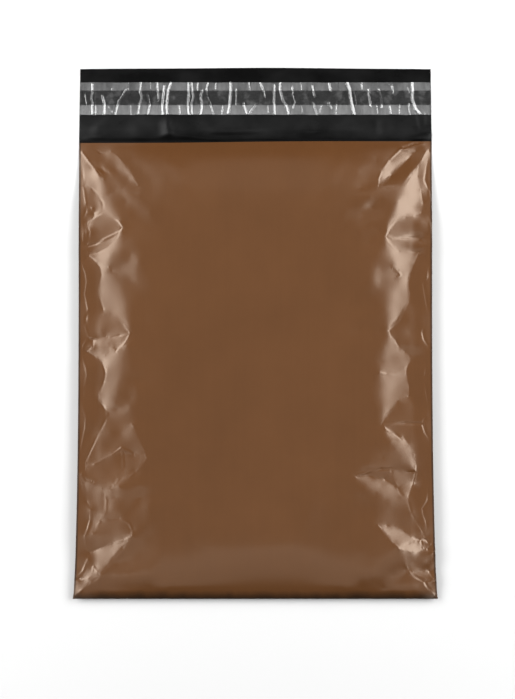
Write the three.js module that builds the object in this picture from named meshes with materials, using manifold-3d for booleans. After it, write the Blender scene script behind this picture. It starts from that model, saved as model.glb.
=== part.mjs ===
// Poly mailer bag, lying on its back with the flap open and the release liner
// still on. Millimetres, +Z up, +X across the bag, +Y from the bottom fold to
// the free edge of the flap. The origin is under the middle of the bag, on the
// surface it lies on.
//
// The bag is one sheet of co-extruded film, brown outside and black inside. It
// is folded once at the bottom, welded up both sides, and its back panel runs
// on past the mouth as the flap. A line of hot-melt adhesive crosses the flap,
// under a clear release liner. What the bag holds can't be seen, so the filled
// pouch and the flap are one solid.

import * as THREE from "three";
import { mergeVertices } from "three/addons/utils/BufferGeometryUtils.js";
import Module from "manifold-3d";

// ---- driving dimensions -------------------------------------------------
const FILM_W = 254; // flat width of the film, weld edge to weld edge
const BAG_L = 326; // bottom fold to mouth as it lies, cut 330 long
const FLAP_L = 54; // mouth to the free edge of the flap
const FILM_T = 0.06; // film gauge, 60 micron
const FILL_H = 10.2; // height of the front panel over the floor
const WAIST = 2.4; // how far the filling draws each side seam in
const SEAM_Z = 5.4; // height of the side welds beside the filling
const FOLD_Z = 2.6; // height of the bottom fold
const SIDE_RAMP = 43; // side weld to the level front panel
const FOLD_RAMP = 30; // bottom fold to the level front panel
const MOUTH_RAMP = 84; // mouth to the level front panel
const BACK_LIFT = 26; // width of back panel that rises from the floor to a seam
const ADHESIVE_W = 10.6; // hot-melt line, along the flap
const ADHESIVE_T = 0.1;
const LINER_W = 23.6; // clear release liner
const LINER_T = 0.05;
const ADHESIVE_Y = 168.2; // centre line of the adhesive
const LINER_Y = 167.7; // centre line of the liner

const FLAP_END_Y = (BAG_L + FLAP_L) / 2; // 190
const MOUTH_Y = FLAP_END_Y - FLAP_L; // 136
const FOLD_Y = -FLAP_END_Y; // -190
const HALF_W = FILM_W / 2;

// ---- helpers --------------------------------------------------------------
const clamp01 = (t) => Math.min(1, Math.max(0, t));
const smooth = (t) => {
  const s = clamp01(t);
  return s * s * (3 - 2 * s);
};
// A film panel leaves its seam at a slope and turns over into the level panel.
const swell = (t) => {
  const s = clamp01(t);
  return Math.sin((s * Math.PI) / 2) * 0.62 + smooth(s) * 0.38;
};

// Half width of the bag at y: the filling draws the seams in, most of all a
// little below the middle, and the bottom corners stay out.
const halfWidth = (y) => {
  const t = (y - FOLD_Y) / BAG_L;
  const pull = Math.pow(Math.sin(Math.PI * Math.pow(clamp01(t), 0.62)), 0.9);
  return HALF_W - WAIST * pull;
};
// Height of the side weld at y. The mouth end lies down with the flap.
const seamHeight = (y) =>
  SEAM_Z * smooth((MOUTH_Y - y) / 70) * (1 - 0.45 * smooth((FOLD_Y + 60 - y) / 60));

// Heights of the front and back panels, d = distance in from the side weld.
const edgeHeight = (y, d) => {
  const fold = FOLD_Z * (1 - smooth((y - FOLD_Y) / BACK_LIFT));
  const side = seamHeight(y) * (1 - smooth(d / BACK_LIFT));
  return Math.max(fold, side);
};
const frontHeight = (y, d) => {
  const base = edgeHeight(y, d) + 2 * FILM_T;
  const up =
    swell(d / SIDE_RAMP) *
    swell((y - FOLD_Y) / FOLD_RAMP) *
    smooth((MOUTH_Y - y) / MOUTH_RAMP);
  return base + (FILL_H - base) * up;
};

// ---- pouch ----------------------------------------------------------------
// Grid lines across and along the bag, closer together on the ramps.
const across = [
  0, 3, 7, 12, 18, 24, 30, 36, 43, 62, 86, 127, 168, 192, 211, 218, 224, 230,
  236, 242, 247, 251, 254,
];
const along = [
  0, 3, 7, 12, 18, 24, 30, 48, 78, 110, 142, 176, 210, 242, 252, 262, 272, 281,
  290, 298, 306, 313, 319, 323, 326,
];

function pouchGeometry() {
  const nx = across.length - 1;
  const ny = along.length - 1;
  const box = new THREE.BoxGeometry(nx, ny, 2, nx, ny, 1);
  box.deleteAttribute("normal");
  box.deleteAttribute("uv");
  box.clearGroups();
  const p = box.attributes.position;
  for (let i = 0; i < p.count; i++) {
    const col = Math.round(p.getX(i) + nx / 2);
    const row = Math.round(p.getY(i) + ny / 2);
    const y = FOLD_Y + along[row];
    const d = Math.min(across[col], FILM_W - across[col]);
    const x = (across[col] / FILM_W - 0.5) * 2 * halfWidth(y);
    p.setXYZ(i, x, y, p.getZ(i) > 0 ? frontHeight(y, d) : edgeHeight(y, d));
  }
  return box;
}

// ---- flap -----------------------------------------------------------------
// The back panel's single film past the mouth, let into the pouch's end.
function flapGeometry() {
  const lap = 4;
  const g = new THREE.BoxGeometry(FILM_W, FLAP_L + lap, FILM_T, 2, 1, 1);
  g.deleteAttribute("normal");
  g.deleteAttribute("uv");
  g.clearGroups();
  g.translate(0, MOUTH_Y - lap + (FLAP_L + lap) / 2, FILM_T / 2);
  const p = g.attributes.position;
  for (let i = 0; i < p.count; i++) {
    if (p.getY(i) < MOUTH_Y)
      p.setX(i, Math.sign(p.getX(i)) * halfWidth(p.getY(i)));
    if (p.getZ(i) < FILM_T / 2) p.setZ(i, 0);
  }
  return g;
}

const wasm = await Module();
wasm.setup();

const solid = (geometry) => {
  const g = mergeVertices(geometry, 1e-4);
  return new wasm.Manifold(
    new wasm.Mesh({
      numProp: 3,
      vertProperties: new Float32Array(g.attributes.position.array),
      triVerts: new Uint32Array(g.index.array),
    }),
  );
};
const geometryOf = (manifold) => {
  const m = manifold.getMesh();
  const v = new Float32Array(m.numVert * 3);
  for (let i = 0; i < m.numVert; i++)
    v.set(m.vertProperties.subarray(i * m.numProp, i * m.numProp + 3), i * 3);
  const g = new THREE.BufferGeometry();
  g.setAttribute("position", new THREE.BufferAttribute(v, 3));
  g.setIndex(new THREE.BufferAttribute(new Uint32Array(m.triVerts), 1));
  g.computeVertexNormals();
  return g;
};

// ---- the part ---------------------------------------------------------------
const mailer = new THREE.Group();

const bagFilm = new THREE.Mesh(
  geometryOf(solid(pouchGeometry()).add(solid(flapGeometry()))),
  new THREE.MeshStandardMaterial({ color: 0x724e34, roughness: 0.35, metalness: 0 }),
);
bagFilm.name = "bag_film";

const adhesive = new THREE.Mesh(
  new THREE.BoxGeometry(FILM_W, ADHESIVE_W, ADHESIVE_T),
  new THREE.MeshStandardMaterial({ color: 0x3a3a38, roughness: 0.3, metalness: 0 }),
);
adhesive.name = "adhesive_strip";
adhesive.position.set(0, ADHESIVE_Y, FILM_T + ADHESIVE_T / 2);

const liner = new THREE.Mesh(
  new THREE.BoxGeometry(FILM_W, LINER_W, LINER_T),
  new THREE.MeshStandardMaterial({ color: 0x8c8c8e, roughness: 0.2, metalness: 0 }),
);
liner.name = "release_liner";
liner.position.set(0, LINER_Y, FILM_T + ADHESIVE_T + LINER_T / 2);

mailer.add(bagFilm, adhesive, liner);

export default mailer;
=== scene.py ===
import bpy
import bmesh
import math
import numpy as np
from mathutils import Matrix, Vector
from mathutils.geometry import delaunay_2d_cdt


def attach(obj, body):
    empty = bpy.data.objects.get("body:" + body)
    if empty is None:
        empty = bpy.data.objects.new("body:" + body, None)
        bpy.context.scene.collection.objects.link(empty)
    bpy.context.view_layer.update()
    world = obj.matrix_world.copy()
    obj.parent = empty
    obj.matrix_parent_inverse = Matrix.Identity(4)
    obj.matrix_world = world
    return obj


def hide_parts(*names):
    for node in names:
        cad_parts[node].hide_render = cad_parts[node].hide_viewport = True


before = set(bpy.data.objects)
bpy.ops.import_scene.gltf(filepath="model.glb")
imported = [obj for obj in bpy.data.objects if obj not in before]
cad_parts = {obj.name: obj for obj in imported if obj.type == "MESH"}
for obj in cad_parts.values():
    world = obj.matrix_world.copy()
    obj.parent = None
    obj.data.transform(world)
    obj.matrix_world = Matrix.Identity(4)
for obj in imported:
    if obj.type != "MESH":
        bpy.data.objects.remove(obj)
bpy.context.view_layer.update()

# ---------------------------------------------------------------------------
# A film mailer bag on its back, flap open, its adhesive line under a clear
# liner. Lengths here are millimetres in the part's own frame: x across the bag,
# y from the bottom fold to the free edge of the flap, z up. They become metres
# when the meshes are made.
# ---------------------------------------------------------------------------
HALF_W = 127.0      # half the film's width
FOLD_Y = -190.0     # bottom fold
MOUTH_Y = 136.0     # cut edge of the front panel
FLAP_Y = 190.4      # free edge of the flap
BAG_L = MOUTH_Y - FOLD_Y
WAIST = 2.4         # how far the filling draws each weld in
SEAM_Z = 5.6        # height of the welds beside the filling
FOLD_Z = 2.6        # height of the bottom fold
FILL_H = 12.6       # height of the level front panel
BACK_LIFT = 26.0    # width of back panel that rises to a weld
FILM_T = 0.06
LINER_Y0, LINER_Y1 = 156.2, 180.1
BAND_Y0, BAND_Y1 = 163.3, 174.1   # adhesive line

# the creased side zones are solved on a grid of these steps
NS, HS = 98, 0.65
NR = 408
HY = BAG_L / NR
SIDE_ZONE = NS * HS

# ---------------------------------------------------------------------------
# Creases pressed into the two sides. A point is (distance in from the weld, y,
# lift over the plain shape, height of the sharp bead on it). Lines join points:
# a crease is a sharp fold, a soft line only leads the surface, and a bead is a
# thin ridge beside the weld. Stations lead the film between the lines.
# ---------------------------------------------------------------------------
LEFT_POINTS = [
    (2.3, 129.1, 0.51, 0.17), (6.4, 123.0, 1.26, 0.17), (11.0, 116.5, 1.64, 0.12), (14.4, 112.2, 2.67, -0.58),
    (18.1, 107.9, 1.65, 0.14), (22.5, 96.4, 0.28, 0.00), (26.9, 85.1, 0.43, 0.00), (30.8, 76.2, 0.63, 0.00),
    (31.8, 71.1, 0.16, -0.15), (9.0, 101.5, 0.73, -0.09), (13.4, 96.1, 0.68, -0.01), (17.3, 89.6, 0.71, -0.13),
    (17.8, 83.3, 0.45, 0.04), (3.3, 103.1, -0.11, 0.09), (9.5, 86.6, 0.64, 0.12), (11.3, 81.7, -0.21, -0.01),
    (5.7, 74.8, -0.56, 0.24), (9.2, 78.1, 0.35, -0.12), (13.1, 80.9, 0.57, -0.21), (24.4, 79.7, 0.60, -0.01),
    (28.7, 75.5, 0.39, 0.11), (7.3, 68.9, 0.83, -0.41), (7.0, 62.4, -0.30, 0.07), (4.8, 58.6, -0.47, -0.53),
    (26.4, 66.9, -0.29, 0.25), (18.2, 63.3, -0.46, 0.28), (12.1, 60.5, -0.35, -0.39), (2.7, 55.2, 0.45, -0.25),
    (30.8, 68.9, 0.45, -0.17), (27.6, 64.2, -0.05, -0.07), (24.2, 60.0, -0.33, 0.02), (22.1, 57.9, -0.36, 0.03),
    (12.5, 53.7, -0.43, -0.11), (4.8, 53.0, -1.12, -0.22), (12.5, 47.2, -0.40, -0.08), (15.6, 42.7, -0.75, -0.01),
    (16.2, 37.7, -0.96, -0.02), (15.1, 32.7, -0.92, -0.01), (14.5, 26.9, -0.96, 0.06), (15.1, 20.4, -0.85, -0.01),
    (17.3, 13.2, -0.88, -0.07), (17.8, 9.6, -0.63, 0.05), (21.2, 43.7, -0.25, -0.04), (23.9, 40.6, -1.03, 0.05),
    (28.2, 36.5, -1.23, 0.00), (34.8, 62.3, -0.16, 0.00), (42.2, 55.7, 0.16, 0.00), (43.6, 46.3, 0.48, 0.00),
    (41.1, 31.2, -1.17, 0.00), (23.2, 38.1, -0.93, 0.00), (29.0, 32.2, -1.17, 0.00), (32.4, 25.6, -1.07, 0.00),
    (34.5, 16.9, -0.92, 0.00), (34.9, 10.5, -0.96, 0.00), (36.6, -1.0, -1.05, 0.00), (36.6, -5.2, -1.20, 0.26),
    (23.2, 9.8, -1.06, 0.06), (28.5, 7.8, -1.10, -0.01), (31.9, 2.0, -1.37, 0.10), (35.8, -3.5, -1.23, 0.08),
    (29.4, -5.8, -1.16, -0.19), (20.8, -7.4, -0.88, 0.06), (9.5, -7.3, -0.14, 0.05), (7.0, -6.6, -0.28, 0.07),
    (34.3, -9.1, -0.87, 0.09), (32.0, -12.0, -0.63, 0.07), (26.8, -17.4, -0.57, -0.06), (19.5, -6.2, -0.97, 0.08),
    (21.8, -10.5, -0.41, -0.04), (24.2, -14.9, -0.39, -0.10), (27.2, -16.1, -0.86, 0.18), (18.6, -20.4, -0.76, 0.01),
    (20.8, -17.6, -0.62, 0.06), (22.5, -14.8, -0.46, -0.01), (10.1, -9.5, -0.73, -0.00), (9.9, -13.4, 0.20, -0.29),
    (5.3, -16.6, -0.82, -0.07), (13.0, -21.6, -0.84, 0.03), (16.5, -24.6, -1.24, 0.09), (18.7, -30.3, -1.05, -0.22),
    (19.1, -32.8, -1.17, -0.09), (17.8, -38.8, -1.48, -0.05), (14.9, -47.2, -1.07, 0.01), (13.6, -50.0, -1.11, -0.07),
    (15.3, -52.9, -1.64, 0.17), (17.9, -56.2, -1.97, -0.18), (20.6, -61.1, -2.19, 0.15), (34.5, -13.7, -0.33, 0.00),
    (33.3, -24.4, -1.44, 0.00), (32.4, -30.7, -1.84, 0.00), (30.7, -39.2, -2.28, 0.00), (28.2, -47.6, -1.89, 0.00),
    (26.1, -54.2, -2.16, 0.00), (27.2, -57.8, -2.85, 0.00), (41.8, -45.7, -2.71, 0.00), (36.9, -50.2, -3.23, 0.00),
    (32.0, -54.7, -3.03, 0.00), (18.9, -66.4, -1.50, -0.14), (15.1, -74.0, -0.77, -0.05), (11.3, -81.7, -0.29, -0.20),
    (8.0, -88.7, -0.23, -0.27), (5.2, -95.0, -0.49, -0.02), (28.4, -61.7, -2.95, 0.00), (34.1, -65.0, -3.37, 0.00),
    (37.4, -67.4, -3.39, 0.05), (39.4, -70.3, -2.91, -0.00), (43.7, -79.4, -2.63, -0.04), (47.6, -88.5, -3.02, 0.04),
    (48.6, -93.0, -2.79, 0.01), (5.2, -96.7, -0.38, -0.21), (12.0, -96.8, -0.04, 0.04), (19.2, -92.7, -1.05, 0.10),
    (24.6, -90.3, -1.58, -0.03), (30.8, -85.7, -3.12, 0.37), (31.9, -91.2, -3.90, 0.27), (32.4, -101.0, -3.31, 0.07),
    (31.6, -106.5, -2.43, 0.02), (39.3, -89.5, -4.26, 0.17), (43.5, -92.3, -3.64, 0.03), (45.6, -97.5, -2.88, -0.09),
    (41.1, -102.4, -3.36, 0.17), (34.5, -107.7, -2.27, -0.01), (29.7, -112.8, -0.90, 0.00), (27.0, -119.7, -1.51, 0.00),
    (25.4, -127.3, -1.34, 0.00), (28.7, -107.6, -1.92, 0.14), (25.8, -111.0, -0.78, -0.01), (23.0, -115.1, -0.39, -0.09),
    (2.9, -103.4, 0.40, 0.03), (5.4, -100.6, -0.51, 0.14), (6.5, -107.6, 0.42, -0.17), (10.8, -108.7, 0.85, -0.25),
    (17.6, -113.6, 0.04, -0.02), (19.6, -117.9, -0.71, 0.04), (20.9, -122.1, -1.03, 0.15), (20.7, -127.9, -1.00, 0.13),
    (19.6, -132.1, -0.80, -0.08), (17.2, -135.5, -1.04, 0.08), (13.9, -140.4, -0.42, -0.04), (11.9, -145.2, 0.25, -0.08),
    (3.8, -110.4, -0.18, 0.15), (6.9, -122.9, -0.41, -0.04), (10.0, -128.5, 0.39, -0.10), (9.9, -135.2, -0.84, 0.41),
    (8.3, -141.7, -0.39, 0.31), (6.3, -146.6, 0.06, 0.10), (6.9, -152.1, -0.57, 0.20), (9.7, -158.0, -1.11, -0.04),
    (23.1, -135.3, -1.68, 0.01), (30.1, -134.3, -2.63, -0.04), (37.0, -137.8, -3.16, 0.18), (39.6, -142.6, -3.13, 0.22),
    (39.7, -146.6, -2.24, -0.02), (34.0, -149.5, -2.84, 0.19), (26.6, -151.8, -2.65, 0.10), (17.7, -154.9, -1.66, -0.02),
    (33.1, -155.0, -2.65, -0.13), (26.9, -161.9, -1.78, -0.16), (22.6, -167.8, -0.68, -0.05), (19.2, -172.9, 0.92, -0.16),
    (17.9, -174.5, 1.24, -0.12), (54.8, -120.5, -2.82, 0.00), (49.9, -126.7, -2.61, 0.00), (45.2, -132.9, -3.03, 0.00),
    (42.0, -141.9, -2.82, 0.00), (8.9, -163.2, 0.17, 0.08), (5.7, -170.8, 0.19, 0.32), (2.4, -174.9, 0.63, 0.01),
    (9.9, -176.0, 1.60, 0.02), (12.1, -172.5, 1.28, -0.10), (13.1, -168.2, 0.17, 0.25), (15.9, -171.1, 0.92, -0.01),
    (1.6, -175.9, 1.16, -1.22), (5.6, -176.6, 0.68, 0.19), (11.7, -178.7, 1.96, -0.17), (5.7, -183.9, 1.35, 0.10),
    (1.2, -188.0, 0.53, -0.07), (8.5, 133.4, 0.07, 0.00), (14.9, 128.9, -0.14, -0.19), (19.0, 128.4, -0.17, -0.02),
    (23.2, 129.2, 0.07, 0.02), (28.4, 124.9, -0.26, 0.04), (34.6, 116.9, -0.83, -0.04), (38.1, 111.0, -0.67, -0.07),
    (42.7, 102.4, -0.62, -0.00), (20.9, 121.8, 0.04, 0.00), (26.8, 115.3, -0.65, 0.00), (35.6, 107.3, -1.20, 0.00),
    (42.7, 100.9, -0.76, 0.00), (12.2, 120.3, 1.41, 0.00), (17.3, 115.9, 0.80, 0.00), (22.4, 112.2, 0.53, 0.00),
    (16.6, 117.0, 0.91, 0.00), (24.6, 109.8, 0.34, 0.00), (32.7, 101.1, -0.53, 0.00), (41.3, 92.0, -0.43, 0.00),
    (51.2, 82.5, 0.34, 0.00), (19.6, 107.1, 1.34, 0.00), (26.1, 98.5, -0.11, 0.00), (33.4, 89.3, -1.07, 0.00),
    (42.0, 81.4, -0.93, 0.00), (50.5, 76.3, -0.30, 0.00), (37.5, 125.5, -1.05, 0.00), (48.4, 119.1, -0.59, 0.00),
    (54.9, 113.3, -0.31, 0.00), (35.5, 120.4, -1.00, 0.00), (44.8, 112.9, -1.14, 0.00), (52.7, 106.1, -0.76, 0.00),
    (1.5, 122.6, 0.00, 0.02), (2.7, 110.6, 0.00, -0.11), (5.2, 90.3, 0.00, 0.18), (5.0, 83.6, 0.00, -0.21),
    (2.2, 77.0, 0.00, 0.08), (3.5, 70.4, 0.00, 0.07), (3.5, 62.4, 0.00, 0.19), (2.7, 52.3, 0.00, -0.03),
    (2.5, 46.5, 0.00, 0.25), (5.2, 39.3, 0.00, 0.25), (6.1, 32.8, 0.00, 0.24), (4.8, 24.2, 0.00, 0.21),
    (6.9, 13.4, 0.00, 0.25), (5.2, 7.0, 0.00, -0.29), (5.0, 0.6, 0.00, 0.09), (3.2, -13.4, 0.00, 0.21),
    (2.8, -19.8, 0.00, 0.07), (5.4, -28.4, 0.00, 0.19), (6.2, -33.4, 0.00, 0.16), (5.0, -40.7, 0.00, 0.12),
    (3.3, -45.7, 0.00, -0.10), (2.3, -52.7, 0.00, 0.04), (5.8, -63.7, 0.00, 0.10), (5.4, -71.1, 0.00, 0.24),
    (3.1, -82.4, 0.00, 0.17), (2.0, -90.8, 0.00, -0.04),
]
LEFT_LINES = [
    ("crease", [0, 1, 2, 3, 4]),
    ("soft", [4, 5, 6, 7, 8]),
    ("crease", [9, 10, 11, 12]),
    ("crease", [13, 9]),
    ("crease", [14, 15]),
    ("crease", [16, 17, 18, 12]),
    ("crease", [12, 19, 20, 8]),
    ("crease", [16, 21, 22, 23]),
    ("crease", [8, 24, 25, 26, 23, 27]),
    ("crease", [8, 28, 29, 30, 31, 32, 33]),
    ("crease", [33, 34, 35, 36, 37, 38, 39, 40, 41]),
    ("crease", [42, 43, 44]),
    ("soft", [8, 45, 46, 47, 48]),
    ("soft", [49, 50, 51, 52, 53, 54, 55]),
    ("crease", [41, 56, 57, 58, 59, 55]),
    ("crease", [55, 60, 61, 62, 63]),
    ("crease", [55, 64, 65, 66]),
    ("crease", [67, 68, 69]),
    ("crease", [69, 70]),
    ("crease", [71, 72, 73]),
    ("crease", [63, 74, 75, 76]),
    ("crease", [76, 77, 78, 79, 80, 81, 82, 83, 84, 85, 86]),
    ("soft", [55, 87, 88, 89, 90, 91, 92, 93]),
    ("soft", [94, 95, 96]),
    ("crease", [86, 97, 98, 99, 100, 101]),
    ("soft", [86, 102, 103, 104]),
    ("crease", [104, 105, 106, 107, 108]),
    ("crease", [109, 110, 111, 112, 113]),
    ("crease", [113, 114, 115, 116]),
    ("crease", [113, 117, 118, 108]),
    ("crease", [108, 119, 120, 121]),
    ("soft", [121, 122, 123, 124]),
    ("crease", [125, 126, 127]),
    ("crease", [128, 129, 109]),
    ("crease", [128, 130, 131]),
    ("crease", [132, 133, 134, 135, 136, 137, 138, 139]),
    ("crease", [140, 141, 142, 143, 144, 145, 146, 147]),
    ("crease", [136, 148, 149, 150, 151, 152]),
    ("crease", [152, 153, 154, 155, 147]),
    ("crease", [152, 156, 157, 158, 159, 160]),
    ("soft", [161, 162, 163, 164]),
    ("crease", [147, 165, 166, 167]),
    ("crease", [168, 169, 170, 171, 160]),
    ("crease", [172, 173, 168]),
    ("crease", [160, 174, 175, 176]),
    ("crease", [177, 178, 179, 180]),
    ("crease", [180, 181, 182, 183, 184]),
    ("soft", [178, 185, 186, 187, 188]),
    ("soft", [189, 190, 191]),
    ("soft", [192, 193, 194, 195, 196]),
    ("soft", [197, 198, 199, 200, 201]),
    ("soft", [202, 203, 204]),
    ("soft", [205, 206, 207]),
    ("bead", [208, 209, 13, 210, 211, 212]),
    ("bead", [212, 213, 214, 27]),
    ("bead", [215, 216, 217, 218, 219, 220, 221, 222, 63]),
    ("bead", [63, 223, 224, 225, 226, 227, 228, 229]),
    ("bead", [229, 230, 231, 232, 233]),
]
LEFT_STATIONS = [
    (9, -75, -0.51), (9, -66, 0.12), (9, -57, -0.23), (9, -48, -0.53), (9, -39, -0.25), (9, -30, 0.31),
    (9, 6, 0.10), (9, 15, 0.13), (9, 24, -0.48), (9, 33, -0.42), (9, 42, -0.36), (16, -183, 0.81),
    (16, -165, -0.41), (16, -147, -0.46), (16, -129, -0.47), (16, -102, -0.58), (16, -84, -0.71), (16, -12, -0.12),
    (16, -3, -0.06), (16, 69, 0.22), (23, -183, -0.53), (23, -147, -1.67), (23, -102, -1.82), (23, -84, -1.98),
    (23, -75, -1.71), (23, -48, -1.46), (23, -39, -1.74), (23, -30, -1.24), (23, 15, -1.00), (23, 24, -0.87),
    (23, 51, 0.23), (30, -183, -1.65), (30, -174, -1.49), (30, -165, -2.72), (30, -129, -2.10), (30, -75, -3.13),
    (30, 15, -1.00), (30, 42, -1.13), (30, 51, -0.05), (30, 60, -0.08), (37, -183, -2.17), (37, -174, -2.16),
    (37, -165, -3.57), (37, -129, -3.44), (37, -120, -2.78), (37, -57, -2.99), (37, -39, -2.95), (37, -30, -2.01),
    (37, 33, -1.46), (37, 42, -0.77), (37, 51, -0.41), (37, 69, -0.33), (37, 78, -0.79), (44, -183, -2.06),
    (44, -174, -2.12), (44, -165, -3.19), (44, -156, -3.56), (44, -147, -2.77), (44, -120, -3.62), (44, -111, -2.31),
    (44, -66, -3.40), (44, -57, -3.09), (44, -39, -3.15), (44, -30, -2.34), (44, -21, -1.85), (44, -12, -1.24),
    (44, -3, -1.50), (44, 6, -1.43), (44, 15, -1.05), (44, 24, -0.96), (44, 60, 0.19), (44, 69, -0.40),
    (44, 96, -0.09), (52, -183, -1.76), (52, -174, -1.61), (52, -165, -2.38), (52, -156, -2.90), (52, -147, -2.82),
    (52, -138, -2.33), (52, -111, -2.58), (52, -102, -2.91), (52, -84, -2.93), (52, -75, -2.95), (52, -66, -3.29),
    (52, -57, -3.20), (52, -48, -2.87), (52, -39, -2.74), (52, -30, -2.43), (52, -21, -1.87), (52, -12, -1.31),
    (52, -3, -1.36), (52, 6, -1.06), (52, 15, -0.77), (52, 24, -0.53), (52, 33, 0.03), (52, 42, 0.30),
    (52, 51, 0.37), (52, 60, 0.18), (52, 69, -0.31), (52, 96, -0.23), (52, 123, -0.37),
]

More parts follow.
